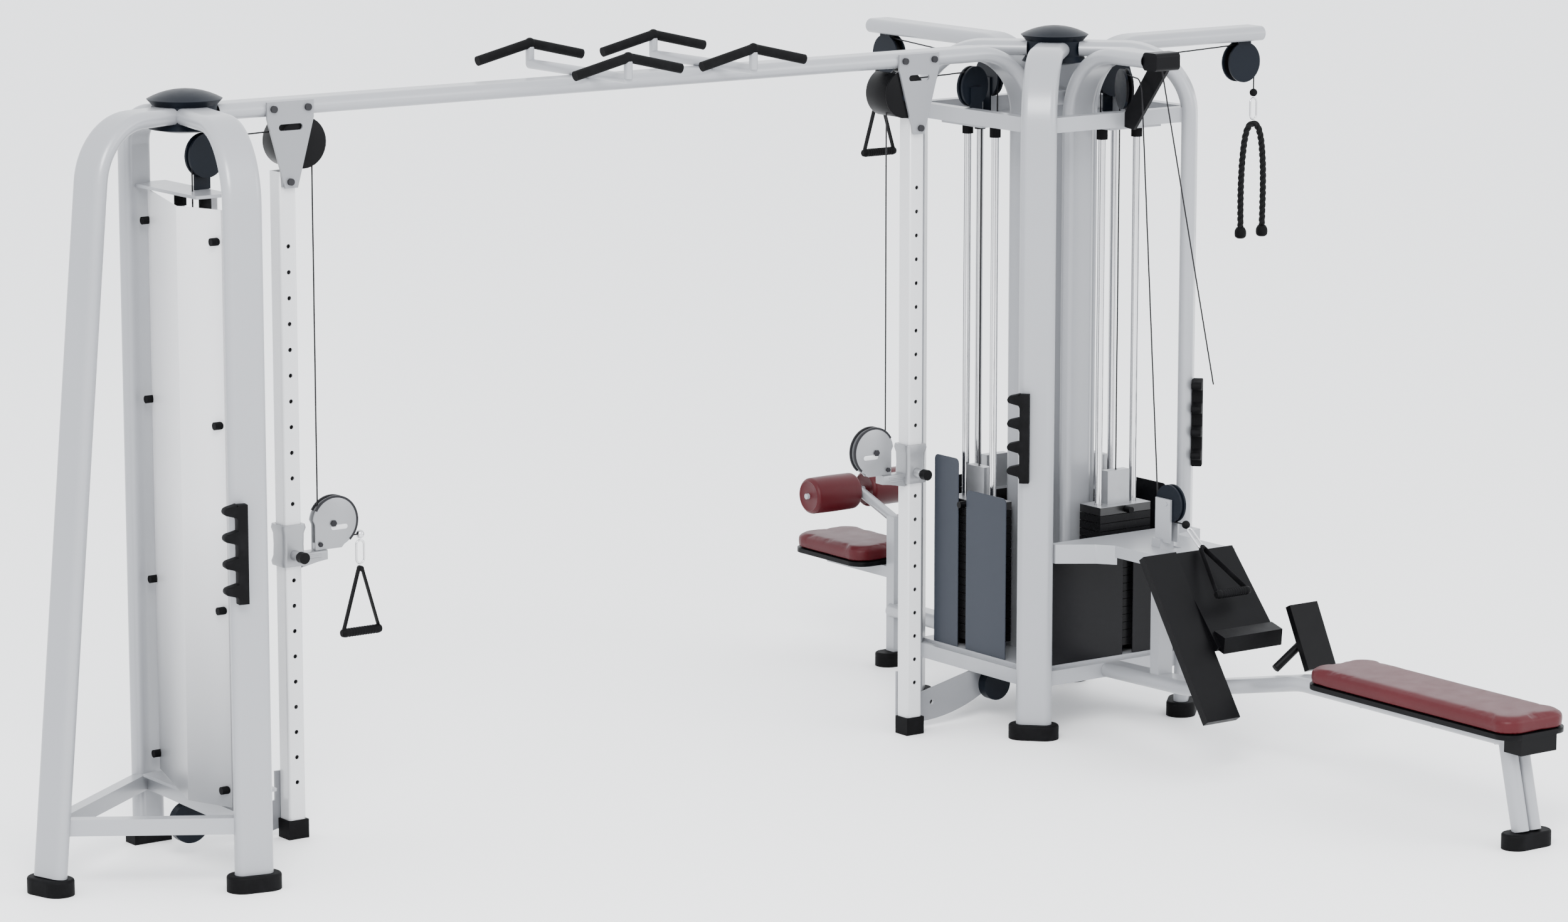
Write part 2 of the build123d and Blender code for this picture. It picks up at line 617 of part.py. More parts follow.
def end_pulley_z(stack, length):
    """Height of an end wheel's axle: its cable rises to it from over the stack."""
    (cx, cy), (fx, fy) = stacks[stack]
    run = length - END_R - abs(cx * fx + cy * fy)
    corner = ARM_Z - TUBE_D / 2 - 14
    return corner - END_R / cos(atan2(corner - CABLE_TOP, run))


def end_turn(stack, length):
    """The corner point of a cable that passes over an end wheel and drops."""
    (cx, cy), (fx, fy) = stacks[stack]
    run = length - END_R - abs(cx * fx + cy * fy)
    slope = (ARM_Z - TUBE_D / 2 - 14 - CABLE_TOP) / run
    return (fx * length, fy * length, ARM_Z - TUBE_D / 2 - 14 + slope * END_R)


def along(direction, forward, across, z):
    dx, dy = direction
    return (dx * forward - dy * across, dy * forward + dx * across, z)


def end_covers(direction, length, z):
    """Two round covers on an axle, hung from the arm on short blocks."""
    axis_at = length - END_R
    inner = END_WHEEL_W / 2 + CHEEK_GAP
    parts = [rod_between(along(direction, axis_at, -inner - COVER_T, z),
                         along(direction, axis_at, inner + COVER_T, z), AXLE_R)]
    for s in (-1, 1):
        a, b = s * inner, s * (inner + COVER_T)
        parts.append(rod_between(along(direction, axis_at, a, z), along(direction, axis_at, b, z), COVER_R))
        p, q = along(direction, axis_at - 28, a, 0), along(direction, axis_at + 28, b, 0)
        x0, x1 = sorted((p[0], q[0]))
        y0, y1 = sorted((p[1], q[1]))
        parts.append(block(x0, x1, y0, y1, z, ARM_Z - TUBE_D / 2))
    return merge(*parts)


end_z = {name: end_pulley_z(name, length) for name, length in (("triceps", TRICEPS_ARM), ("lat", LAT_ARM))}
covers = [end_covers((1, 0), TRICEPS_ARM, end_z["triceps"]), end_covers((0, 1), LAT_ARM, end_z["lat"])]
end_wheel = wheel(END_R, END_WHEEL_W, AXLE_R + RUNNING_FIT, 9)
nodes["triceps_wheel"] = Pos(TRICEPS_ARM - END_R, 0, end_z["triceps"]) * Rot(90, 0, 0) * end_wheel
nodes["lat_wheel"] = Pos(0, LAT_ARM - END_R, end_z["lat"]) * Rot(0, 90, 0) * end_wheel

ROPE_STOP_Z = 2075
LAT_STOP_Z = 2120
nodes["triceps_carabiner"] = link(TRICEPS_ARM, 0, ROPE_STOP_Z - STOP_R - 2, LINK_LEN)
rope_top = ROPE_STOP_Z - STOP_R - 2 - LINK_LEN
lat_handle_top = LAT_STOP_Z - STOP_R - 2
nodes["lat_handle"] = Compound([link(0, LAT_ARM, lat_handle_top, 60),
                                d_handle(0, LAT_ARM, lat_handle_top - 60 - 10)])

ROPE_R = 12
ROPE_HALF = 48
ROPE_DROP = 360


def triceps_rope():
    """A doubled rope: up one side, through its eye and down the other."""
    x, top = TRICEPS_ARM, rope_top - ROPE_R - 1
    left = [(x - ROPE_HALF - 2, top - ROPE_DROP), (x - ROPE_HALF - 5, top - 250), (x - ROPE_HALF, top - 130),
            (x - ROPE_HALF + 12, top - 40), (x - 17, top)]
    right = [(x + 17, top), (x + ROPE_HALF - 11, top - 42), (x + ROPE_HALF + 1, top - 134),
             (x + ROPE_HALF + 3, top - 250), (x + ROPE_HALF, top - ROPE_DROP)]
    return [(px, 0, pz) for px, pz in left + right]


def bend_radii(points):
    """For each corner, 0.45 of its shorter run divided by the tangent of half the turn."""
    radii = []
    for a, b, c in zip(points, points[1:], points[2:]):
        first, second = Vector(*b) - Vector(*a), Vector(*c) - Vector(*b)
        turn = radians(first.get_angle(second))
        radii.append(0.45 * min(first.length, second.length) / tan(turn / 2))
    return radii


def round_tube(points, radii, r):
    path = FilletPolyline(*points, radius=radii)
    plane = Plane(origin=Vector(*points[0]), z_dir=Vector(*points[1]) - Vector(*points[0]))
    return sweep(plane * Circle(r), path=path)


rope_points = triceps_rope()
rope_radii = bend_radii(rope_points)
print("rope bend radii", [round(r) for r in rope_radii])
nodes["triceps_rope"] = round_tube(rope_points, rope_radii, ROPE_R)
nodes["triceps_rope_ends"] = Compound([
    cut(Pos(p[0], 0, p[2] - 19.5) * Cylinder(21, 39), nodes["triceps_rope"])
    for p in (rope_points[0], rope_points[-1])])


# ---- row station: low pulley, shelf, foot deck, bench ----
wheel_y, wheel_z = ROW_WHEEL
RAIL_START = (0, -CORE_HALF - RAIL_W / 2 - 1.5, BASE_Z)
UPRIGHT_Y = -600
rail_points = [RAIL_START, (0, -760, BASE_Z + 10), (0, -1330, RAIL_MID), (0, BENCH_Y1 + 60, RAIL_MID)]
rail_space = oval_tube(rail_points, 350, (1, 0, 0), width=100, wall=0)
rail = oval_tube(rail_points, 350, (1, 0, 0), width=100)
upright = block(-30, 30, UPRIGHT_Y - 22, UPRIGHT_Y + 22, BASE_Z, SHELF_Z1 + 30)
fork = [block(s * 17 - 4, s * 17 + 4, UPRIGHT_Y - 60, UPRIGHT_Y + 16, SHELF_Z1 + 20, wheel_z + 16) for s in (-1, 1)]
fork_axle = rod_x(wheel_y, wheel_z, -24, 24, AXLE_R)
upright = cut(merge(upright, *fork), rail_space)
ROW_CABLE_R = ROW_WHEEL_R - 5
nodes["row_wheel"] = (Pos(0, wheel_y, wheel_z) * Rot(0, 90, 0)
                      * wheel(ROW_CABLE_R, 24, AXLE_R + RUNNING_FIT))
bench_legs = []
for s in (-1, 1):
    bench_legs.append(oval_tube([(s * 25, BENCH_FOOT_Y, FOOT_H), (s * 25, BENCH_LEG_Y, RAIL_MID)], 0, (0, 1, 0),
                                width=60, depth=46))
bench_leg = cut(merge(*bench_legs), rail_space, block(-99, 99, -2500, -2200, 0, FOOT_H))
nodes["row_rail"] = merge(rail, upright, fork_axle, bench_leg)

SHELF_T = 5
shelf_front = [(-276, -372), (-165, -450), (-115, -515), (60, -518), (170, -468), (300, -440)]


def shelf_outline(inset=0):
    face = outline((-276 + inset, -345 - inset), *[(x, y + inset) for x, y in shelf_front],
                   (300, -345 - inset))
    corners = face.vertices().sort_by(Axis.Y)[:4]
    return fillet(corners, 30)


tongue = block(-125, 170, -770, -480, SHELF_Z0 + 25, SHELF_Z1)
shelf = merge(Pos(0, 0, SHELF_Z0) * extrude(shelf_outline(), SHELF_Z1 - SHELF_Z0), tongue)
hollow = Pos(0, 0, SHELF_Z0 - 1) * extrude(shelf_outline(SHELF_T), SHELF_Z1 - SHELF_Z0 - SHELF_T + 1)
shelf = cut(shelf, hollow, block(-120, 165, -765, -500, SHELF_Z0, SHELF_Z1 - SHELF_T))
shelf = cut(shelf, leg_space["near"], leg_space["right"],
            block(-32, 32, UPRIGHT_Y - 62, UPRIGHT_Y + 24, 0, 900))
nodes["row_shelf"] = shelf

DECK_T = 22
PANEL_TOP = (-780, 680)
PANEL_LOW = (-1022, 405)
STEP_LOW = (-1135, 195)


def sloped(x0, x1, top, low, thick):
    """A slab between x0 and x1 whose front face falls from top to low, in y, z."""
    ny, nz = top[1] - low[1], low[0] - top[0]
    size = hypot(ny, nz)
    ny, nz = ny / size * thick, nz / size * thick
    return end_plate(outline(top, low, (low[0] + ny, low[1] + nz), (top[0] + ny, top[1] + nz)), x0, x1)


panel = sloped(-112, 150, PANEL_TOP, PANEL_LOW, DECK_T)
lip = end_plate(outline((-985, 455), (-1040, 440), (-1035, 385), (-985, 400)), -100, 150)
step = sloped(-250, -110, (-800, 690), STEP_LOW, DECK_T + 6)
deck_post = block(-90, 90, -800, -740, 230, 640)
far_step = sloped(135, 255, (-1090, 530), (-1190, 330), 24)
stalk = rod_between((60, -1110, 330), (200, -1110, 420), 14)
deck = merge(panel, lip, step)
nodes["row_footdeck"] = Compound([cut(deck, rail_space, nodes["row_shelf"], deck_post),
                                  cut(merge(far_step, stalk), rail_space)])

bench_span = (BENCH_Y0 - BENCH_Y1)
bench_mid = (BENCH_Y0 + BENCH_Y1) / 2
pan_z = SEAT_TOP - PAD_T - PAN_T
pan = Pos(0, bench_mid, pan_z) * extrude(RectangleRounded(BENCH_W - 20, bench_span - 20, 60), PAN_T)
end_cap = block(-75, 75, BENCH_Y1 + 14, BENCH_Y1 + 90, pan_z - 52, pan_z)
end_cap = cut(end_cap, rail_space)
pad = Pos(0, bench_mid, SEAT_TOP - PAD_T) * extrude(RectangleRounded(BENCH_W, bench_span, 70), PAD_T)
nodes["row_seat_pad"] = fillet(pad.edges().group_by(Axis.Z)[-1], 16)

# ---- pulldown station ----
lat_mid = (LAT_SEAT_Y0 + LAT_SEAT_Y1) / 2
lat_span = LAT_SEAT_Y1 - LAT_SEAT_Y0
lat_pan = Pos(0, lat_mid, pan_z) * extrude(RectangleRounded(BENCH_W - 20, lat_span - 20, 60), PAN_T)
lat_pad = Pos(0, lat_mid, SEAT_TOP - PAD_T) * extrude(RectangleRounded(BENCH_W, lat_span, 70), PAD_T)
nodes["lat_seat_pad"] = fillet(lat_pad.edges().group_by(Axis.Z)[-1], 16)
nodes["seat_pans"] = Compound([merge(pan, end_cap), lat_pan])

lat_low = oval_tube([(0, CORE_HALF + RAIL_W / 2, BASE_Z), (0, LAT_POST_Y, BASE_Z)], 0, (1, 0, 0), width=100)
lat_post = block(-30, 30, LAT_POST_Y - 22, LAT_POST_Y + 22, FOOT_H, ROLLER_Z - 60)
seat_beam = block(-30, 30, LAT_POST_Y + 22, LAT_SEAT_Y1 - 90, pan_z - 40, pan_z)
roller_arm = rod_between((0, LAT_POST_Y, ROLLER_Z - 80), (0, ROLLER_Y, ROLLER_Z), 18)
roller_axle = rod_x(ROLLER_Y, ROLLER_Z, -ROLLER_LEN - 34, ROLLER_LEN + 34, ROLLER_AXLE_R)
nodes["lat_seat_frame"] = merge(lat_low, lat_post, seat_beam, roller_arm, roller_axle)
nodes["thigh_roller"] = Compound([
    cut(rod_x(ROLLER_Y, ROLLER_Z, s * 24, s * (24 + ROLLER_LEN), ROLLER_R),
        rod_x(ROLLER_Y, ROLLER_Z, -400, 400, ROLLER_AXLE_R + HUB_SPACE)) for s in (-1, 1)])

# ---- row handle: lies forward over the foot deck ----
row_stop = (0, wheel_y - ROW_CABLE_R - 18, wheel_z - ROW_CABLE_R)
HANDLE_DROOP = 38
flat = Compound([link(0, 0, -STOP_R - 2, LINK_LEN), d_handle(0, 0, -STOP_R - 2 - LINK_LEN - 10)])
nodes["row_handle"] = Pos(*row_stop) * Rot(-(90 - HANDLE_DROOP), 0, 0) * flat


# ---- pulleys over the stacks and on the column brackets ----
TOP_R = 50
DISC_R = 68
SLOT_HALF = 5


def pulley_pair(x, y, z, angle, r=DISC_R):
    """Two discs either side of a cable in a vertical plane at angle to X, on one hub."""
    discs = [Pos(0, s * (SLOT_HALF + 4), 0) * Rot(90, 0, 0) * Cylinder(r, 8) for s in (-1, 1)]
    core = Rot(90, 0, 0) * Cylinder(TOP_R - 8, 2 * SLOT_HALF)
    return Pos(x, y, z) * Rot(0, 0, angle) * merge(*discs, core)


cable_ends = {
    "crossover": (swivel_axis(CORE_COLUMN_X, -1), COLUMN_Y),
    "tower": (swivel_axis(TOWER_COLUMN_X, 1), COLUMN_Y),
    "row": (0, -460),
    "triceps": (TRICEPS_ARM, 0),
    "lat": (0, LAT_ARM),
}
STAND_W = 60
for name, (ex, ey) in cable_ends.items():
    (cx, cy), _ = stacks[name]
    angle = atan2(ey - cy, ex - cx)
    px, py = cx + TOP_R * cos(angle), cy + TOP_R * sin(angle)
    base_z = RING_Z - RAIL_H / 2 if name != "tower" else TOWER_TOP_Z + 10
    stand = block(-STAND_W / 2, STAND_W / 2, SLOT_HALF + 8, SLOT_HALF + 14, base_z - CABLE_TOP + TOP_R, 0)
    stand = Pos(px, py, CABLE_TOP - TOP_R) * Rot(0, 0, degrees(angle)) * stand
    stand = cut(stand, nodes["core_top_ring"])
    covers.append(merge(pulley_pair(px, py, CABLE_TOP - TOP_R, degrees(angle)), stand))
for name, stack in (("tower", "tower"), ("core", "crossover")):
    ex, ey = cable_ends[stack]
    (cx, cy), _ = stacks[stack]
    angle = atan2(cy - ey, cx - ex)
    px, py = ex + TOP_R * cos(angle), ey + TOP_R * sin(angle)
    spigot = rod_y(px, CABLE_TOP - TOP_R, -TUBE_W / 2, py - SLOT_HALF - 2, 12)
    covers.append(merge(pulley_pair(px, py, CABLE_TOP - TOP_R, degrees(angle)), spigot))
FLOOR_DISC_R = 55
covers.append(rod_y(CORE_GUSSET_X - 10, BASE_Z - 80, COLUMN_Y - 6, COLUMN_Y + COLUMN_W / 2, FLOOR_DISC_R))
covers.append(rod_y(TOWER_X - 60, BASE_Z - 90, -60, -30, FLOOR_DISC_R + 10))
gusset_shape = outline((-346, 2094), (-346, 2046), (-392, 2040), (-566, ARM_Z - 26), (-470, ARM_Z - 26))
covers.append(end_plate(gusset_shape, 24, 36))
row_cap = block(-50, 50, -ROW_ARM - 72, -ROW_ARM, ARM_Z - 30, ARM_Z + 30)
covers.append(fillet(row_cap.edges().filter_by(Axis.X), 14))
nodes["pulley_covers"] = Compound(covers)


# ---- cables ----
STEM_CABLE_Z = 400
hook = (385, -398, 1148)


def cable(name):
    """A steel cable's tight route, from inside a stack's stem over its pulleys."""
    (cx, cy), _ = stacks[name]
    start = [(cx, cy, STEM_CABLE_Z), (cx, cy, CABLE_TOP)]
    if name in ("tower", "crossover"):
        ex, ey = cable_ends[name]
        return start + [(ex, ey, CABLE_TOP), (ex, ey, WHEEL_Z)], [TOP_R, TOP_R]
    if name == "row":
        low = (0, wheel_y + ROW_CABLE_R + 4, wheel_z - ROW_CABLE_R)
        return start + [(0, -460, CABLE_TOP), low, (0, row_stop[1] + STOP_R, low[2])], [TOP_R, TOP_R, ROW_CABLE_R]
    length = TRICEPS_ARM if name == "triceps" else LAT_ARM
    stop_z = ROPE_STOP_Z if name == "triceps" else LAT_STOP_Z
    turn = end_turn(name, length)
    return start + [turn, (turn[0], turn[1], stop_z + STOP_R)], [TOP_R, END_R]


cables = []
for name in stacks:
    points, radii = cable(name)
    cables.append(round_tube(points, radii, CABLE_R))
cables.append(rod_between((0, -ROW_ARM - 40, ARM_Z - 31), hook, CABLE_R))
nodes["cables"] = Compound(cables)
cable_space = [round_tube(*cable(n), CABLE_R + 6) for n in core_stacks]
nodes["core_top_ring"] = cut(nodes["core_top_ring"], *cable_space)

# ---- covers ----
SHROUD_T = 4
SLOT = 22                # half the slot that a selector pin moves in
TOWER_SHROUD_Z = (STACK_FLOOR + 2, TOWER_TOP_Z - 5)
SHROUD_CREASE = (-180, -255)
SHROUD_REAR = (-50, 150)
SHROUD_FRONT = (-120, -415)


def tower_shroud():
    """A creased outer skin, and inner panels either side of the selector pin's slot."""
    (cx, cy), _ = stacks["tower"]
    edge = [SHROUD_REAR, SHROUD_CREASE, SHROUD_FRONT]
    inner = [(SHROUD_FRONT[0] + 2 + SHROUD_T, SHROUD_FRONT[1]), (SHROUD_CREASE[0] + SHROUD_T, SHROUD_CREASE[1]),
             (SHROUD_REAR[0] + SHROUD_T, SHROUD_REAR[1])]
    face = outline(*[(TOWER_X + x, y) for x, y in edge + inner])
    z0, z1 = TOWER_SHROUD_Z
    skins = [Pos(0, 0, z0) * extrude(face, z1 - z0)]
    x1 = cx + PLATE_D / 2 + 45
    for y0, y1 in ((cy - PLATE_W / 2 - 20, cy - SLOT), (cy + SLOT, cy + PLATE_W / 2 + 20)):
        skins.append(block(x1 - SHROUD_T, x1, y0, y1, z0, z1))
    return [cut(s, *tower_space.values(), nodes["base_frames"], nodes["tower_rear_post"]) for s in skins]


nodes["tower_shroud"] = Compound(tower_shroud())
FACE = CORE_HALF - RAIL_W / 2 + 6


def rounded_panel(width, height, r):
    """A panel sketch with its low edge on the axis and rounded top corners."""
    shape = Pos(0, height / 2) * Rectangle(width, height)
    return fillet(shape.vertices().group_by(Axis.Y)[-1], r)


def stack_panels(name, left, right, z_left, z_right):
    """Two panels before a stack, either side of the slot that the selector pin moves in."""
    (cx, cy), (fx, fy) = stacks[name]
    at = cx if fy else cy
    parts = []
    for lo, hi, top in ((left, at - SLOT, z_left), (at + SLOT, right, z_right)):
        sketch = Pos((lo + hi) / 2, STACK_FLOOR) * rounded_panel(hi - lo, top - STACK_FLOOR, 18)
        if fy:
            y = fy * FACE
            parts.append(side_plate(sketch, y - SHROUD_T / 2, y + SHROUD_T / 2))
        else:
            x = fx * FACE
            parts.append(end_plate(sketch, x - SHROUD_T / 2, x + SHROUD_T / 2))
    return parts


panels = stack_panels("row", -245, 245, 590, 590)
panels += stack_panels("crossover", -150, 245, 790, 890)
panels += stack_panels("lat", -245, 245, 790, 790) + stack_panels("triceps", -245, 245, 790, 790)
nodes["core_shrouds"] = Compound(panels)


# ---- accessory racks ----
RACK_H = 300
RACK_W = 36
RACK_IN = 18             # from the leg's middle to the rack's back edge
PRONG = 42


def rack(z0):
    """A comb in the XZ plane: a spine against x = 0 and four prongs towards -X."""
    comb = outline((0, 0), (0, RACK_H), (-32, RACK_H), (-32, 0))
    for i in range(4):
        z = 14 + i * (RACK_H - 60) / 3
        comb = comb + outline((-30, z), (-30, z + 46), (-32 - PRONG, z + 38), (-32 - PRONG, z + 14))
    return Pos(0, 0, z0) * side_plate(comb, -RACK_W / 2, RACK_W / 2)


def rack_on(x, y, turn, z0):
    """A rack on a leg's outward flat face, its prongs reaching past the leg's edge."""
    return Pos(x, y, 0) * Rot(0, 0, turn) * Pos(-RACK_IN, -TUBE_D / 2 - RACK_W / 2, 0) * rack(z0)


racks = [rack_on(*leg_at["near"], -45, 880), rack_on(*leg_at["right"], 45, 870),
         rack_on(*leg_at["rear"], 135, 880)]
front_turn = degrees(atan2(-FRONT_LEG[0], FRONT_LEG[1])) + 180
racks.append(rack_on(*front_at, front_turn, 885))
nodes["accessory_racks"] = Compound(racks)


# ---- rubber and fasteners ----
CLIP_R = 12
for z in (1950, 1400, 840, 290):
    rear_x, front_x = TOWER_X + SHROUD_REAR[0] - 6, TOWER_X + SHROUD_FRONT[0] - 6
    bumpers.append(rod_x(SHROUD_REAR[1] - 10, z, rear_x - 22, rear_x + 4, CLIP_R))
    bumpers.append(rod_x(SHROUD_FRONT[1] + 16, z, front_x - 22, front_x + 4, CLIP_R))
stops = [(TRICEPS_ARM, 0, ROPE_STOP_Z), (0, LAT_ARM, LAT_STOP_Z), row_stop]
bumpers += [Pos(*p) * Sphere(STOP_R) for p in stops]
nodes["rubber_bumpers"] = Compound([cut(b, nodes["tower_shroud"]) for b in bumpers])

bolts = []
for x, side in column_xs.values():
    back = -TUBE_W / 2 - BRACKET_T
    for dx in (-60, 60):
        bolts.append(rod_y(x + side * 5 + dx, ARM_Z, back - 9, back, 11))
    bolts.append(rod_y(x, COLUMN_TOP - 30, back - 9, back, 11))
for y in (BENCH_Y0 - 150, bench_mid, BENCH_Y1 + 200):
    bolts.append(rod_z(0, y, pan_z - TUBE_D - 8, pan_z - TUBE_D, 9))
nodes["fasteners"] = Compound(bolts)
nodes["feet"] = Compound(feet)

# ---- the origin goes to the bottom centre of the machine's own box ----
loose = ("triceps_rope", "triceps_rope_ends", "triceps_carabiner")
box = Compound([shape for name, shape in nodes.items() if name not in loose]).bounding_box()
SHIFT = (-(box.min.X + box.max.X) / 2, -(box.min.Y + box.max.Y) / 2, -box.min.Z)
os.makedirs("parts", exist_ok=True)
for name, shape in nodes.items():
    export_step(Pos(*SHIFT) * shape, f"parts/{name}.step")
print(len(nodes), "nodes; shift", [round(v, 3) for v in SHIFT])
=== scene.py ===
import math

import bmesh
import bpy
from mathutils import Matrix, Vector


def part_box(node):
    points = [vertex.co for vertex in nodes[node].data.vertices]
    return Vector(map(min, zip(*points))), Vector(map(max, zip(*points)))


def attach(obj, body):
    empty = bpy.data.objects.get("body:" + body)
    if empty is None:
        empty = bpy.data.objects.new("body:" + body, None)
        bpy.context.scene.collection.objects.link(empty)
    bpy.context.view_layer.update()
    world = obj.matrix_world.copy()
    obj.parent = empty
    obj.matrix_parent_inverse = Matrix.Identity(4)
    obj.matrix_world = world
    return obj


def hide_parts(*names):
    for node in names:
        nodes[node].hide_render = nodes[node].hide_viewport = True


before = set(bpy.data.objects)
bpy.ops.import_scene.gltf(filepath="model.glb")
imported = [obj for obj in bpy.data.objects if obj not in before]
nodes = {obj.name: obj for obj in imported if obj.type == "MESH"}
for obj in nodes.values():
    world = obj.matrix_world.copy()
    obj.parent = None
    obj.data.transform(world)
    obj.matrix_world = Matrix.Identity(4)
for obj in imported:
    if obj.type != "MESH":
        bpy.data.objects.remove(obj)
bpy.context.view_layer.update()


# ---- Where the machine stands -------------------------------------------------------------
# The two domed hub caps mark the centre lines of the tower and of the core, and every
# attachment and the camera are placed from them.
HUB_RIM = 0.115
hub_low, hub_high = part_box("hub_caps")
core = Vector((hub_high.x - HUB_RIM, (hub_low.y + hub_high.y) / 2, 0))
tower = Vector((hub_low.x + HUB_RIM, core.y, 0))
top_z = hub_high.z


# ---- Node maths for the finishes ----------------------------------------------------------
# Every finish is a small network on one shader: Finish makes its nodes, and Sock lets the
# maths between them be written as plain expressions.
class Sock:
    def __init__(self, finish, socket):
        self.finish, self.socket = finish, socket

    def _math(self, operation, other, swap=False):
        pair = (other, self) if swap else (self, other)
        return self.finish.node("ShaderNodeMath", {"operation": operation}, {0: pair[0], 1: pair[1]})

    def __add__(self, other):
        return self._math("ADD", other)

    def __sub__(self, other):
        return self._math("SUBTRACT", other)

    def __rsub__(self, other):
        return self._math("SUBTRACT", other, True)

    def __mul__(self, other):
        return self._math("MULTIPLY", other)

    __radd__, __rmul__ = __add__, __mul__


class Finish:
    def __init__(self, name):
        self.material = bpy.data.materials.new(name)
        self.material.use_nodes = True
        self.tree = self.material.node_tree
        self.shader = self.tree.nodes["Principled BSDF"]
        self.place = self.node("ShaderNodeTexCoord", {}, {}, "Object")

    def node(self, kind, settings, values, output=0):
        made = self.tree.nodes.new(kind)
        for key, value in settings.items():
            if key == "stops":
                ramp = made.color_ramp
                while len(ramp.elements) < len(value):
                    ramp.elements.new(0.5)
                for element, (at, shade) in zip(ramp.elements, value):
                    element.position, element.color = at, (*shade, 1)
            else:
                setattr(made, key, value)
        for key, value in values.items():
            if isinstance(value, Sock):
                self.tree.links.new(value.socket, made.inputs[key])
            else:
                made.inputs[key].default_value = value
        return Sock(self, made.outputs[output])

    def noise(self, scale, detail=3.0, place=None):
        return self.node("ShaderNodeTexNoise", {},
                         {"Vector": place or self.place, "Scale": scale, "Detail": detail})

    def along(self, axis):
        """Where a point lies along x, y or z, counted 0, 1 and 2."""
        return self.node("ShaderNodeSeparateXYZ", {}, {0: self.place}, axis)

    def mix(self, factor, first, second):
        return self.node("ShaderNodeMix", {"data_type": "RGBA"},
                         {0: factor, 6: (*first, 1) if isinstance(first, tuple) else first,
                          7: (*second, 1) if isinstance(second, tuple) else second}, 2)

    def ramp(self, factor, low, high):
        return self.node("ShaderNodeMapRange", {"clamp": True}, {0: factor, 1: low, 2: high, 3: 0.0, 4: 1.0})

    def bump(self, height, strength, distance):
        normal = self.node("ShaderNodeBump", {},
                           {"Height": height, "Strength": strength, "Distance": distance})
        self.feed("Normal", normal)

    def feed(self, socket, value):
        target = self.shader.inputs[socket]
        if isinstance(value, Sock):
            self.tree.links.new(value.socket, target)
        else:
            target.default_value = (*value, 1) if isinstance(value, tuple) else value


def tint(colour, factor):
    return tuple(min(1, c * factor) for c in colour)


def dress(finish, *names):
    """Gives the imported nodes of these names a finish."""
    for name in names:
        for slot in nodes[name].material_slots:
            slot.material = finish.material


def shade(obj, finish, angle=40):
    """Gives a finished piece its finish, smooth but for edges sharper than the angle."""
    obj.data.materials.clear()
    obj.data.materials.append(finish.material)
    if obj.type == "MESH":
        for face in obj.data.polygons:
            face.use_smooth = True
        obj.data.set_sharp_from_angle(angle=math.radians(angle))


# ---- Frame tubes --------------------------------------------------------------------------
# Bent flat-oval steel tube, powder coated in silver white. The coat has a fine orange peel.
FRAME_COLOUR = (0.255, 0.262, 0.278)


def powder_coat(name, colour, rough=0.34, peel=0.25):
    coat = Finish(name)
    cloud = coat.noise(2.2, 4.0)
    coat.feed("Base Color", coat.mix(cloud, tint(colour, 0.95), tint(colour, 1.05)))
    coat.feed("Roughness", coat.noise(9.0) * 0.10 + (rough - 0.05))
    coat.bump(coat.noise(420.0, 2.0), peel, 0.0004)
    coat.feed("Metallic", 0.15)
    coat.shader.inputs["Coat Weight"].default_value = 0.25
    coat.shader.inputs["Coat Roughness"].default_value = 0.2
    return coat


frame_coat = powder_coat("frame_coat", FRAME_COLOUR)
dress(frame_coat, "core_legs", "base_frames", "core_top_ring", "crossover_beam", "row_arm",
      "triceps_arm", "lat_arm", "tower_leg_front", "tower_leg_side", "tower_rear_post", "row_rail",
      "row_shelf", "lat_seat_frame")


# ---- Hub caps and pulley covers -----------------------------------------------------------
# Moulded in dark slate plastic with a fine spark-eroded grain.
def moulded(name, colour, rough=0.45, grain=900.0, strength=0.2):
    plastic = Finish(name)
    cloud = plastic.noise(14.0)
    plastic.feed("Base Color", plastic.mix(cloud, tint(colour, 0.82), tint(colour, 1.18)))
    plastic.feed("Roughness", plastic.noise(30.0) * 0.12 + (rough - 0.06))
    plastic.bump(plastic.noise(grain, 2.0), strength, 0.0003)
    plastic.shader.inputs["Specular IOR Level"].default_value = 0.08
    return plastic


SLATE, BLACK = (0.004, 0.0058, 0.0092), (0.0015, 0.0015, 0.002)
ROW_CAP_Y = 0.335                # past this, towards the row bench, the covers are black
slate = moulded("slate_plastic", SLATE, 0.40)
dress(slate, "hub_caps", "row_wheel")
two_tone = moulded("slate_and_black", SLATE, 0.40)
past_cap = two_tone.ramp(two_tone.along(1), core.y - ROW_CAP_Y - 0.001, core.y - ROW_CAP_Y)
two_tone.feed("Base Color", two_tone.mix(past_cap, BLACK, SLATE))
dress(two_tone, "pulley_covers")

black_plastic = moulded("black_plastic", (0.0016, 0.0016, 0.0020), 0.42)
dress(black_plastic, "row_footdeck", "seat_pans", "tower_pull_pin", "core_pull_pin", "triceps_wheel",
      "lat_wheel", "tower_wheel", "core_wheel", *[name for name in nodes if name.endswith("selector_pin")])


# ---- Rubber feet, bumpers and grips -------------------------------------------------------
# Solid black rubber, matt, with a faint bloom where it has been handled or scuffed.
def rubber(name, colour=(0.0025, 0.0025, 0.0028)):
    piece = Finish(name)
    bloom = piece.ramp(piece.noise(24.0, 6.0), 0.45, 0.8)
    piece.feed("Base Color", piece.mix(bloom, colour, tint(colour, 2.2)))
    piece.feed("Roughness", bloom * 0.15 + 0.62)
    piece.bump(piece.noise(650.0, 3.0), 0.35, 0.0005)
    piece.shader.inputs["Specular IOR Level"].default_value = 0.06
    return piece


black_rubber = rubber("black_rubber")
dress(black_rubber, "feet", "rubber_bumpers", "grip_bars", "accessory_racks", "triceps_rope_ends")


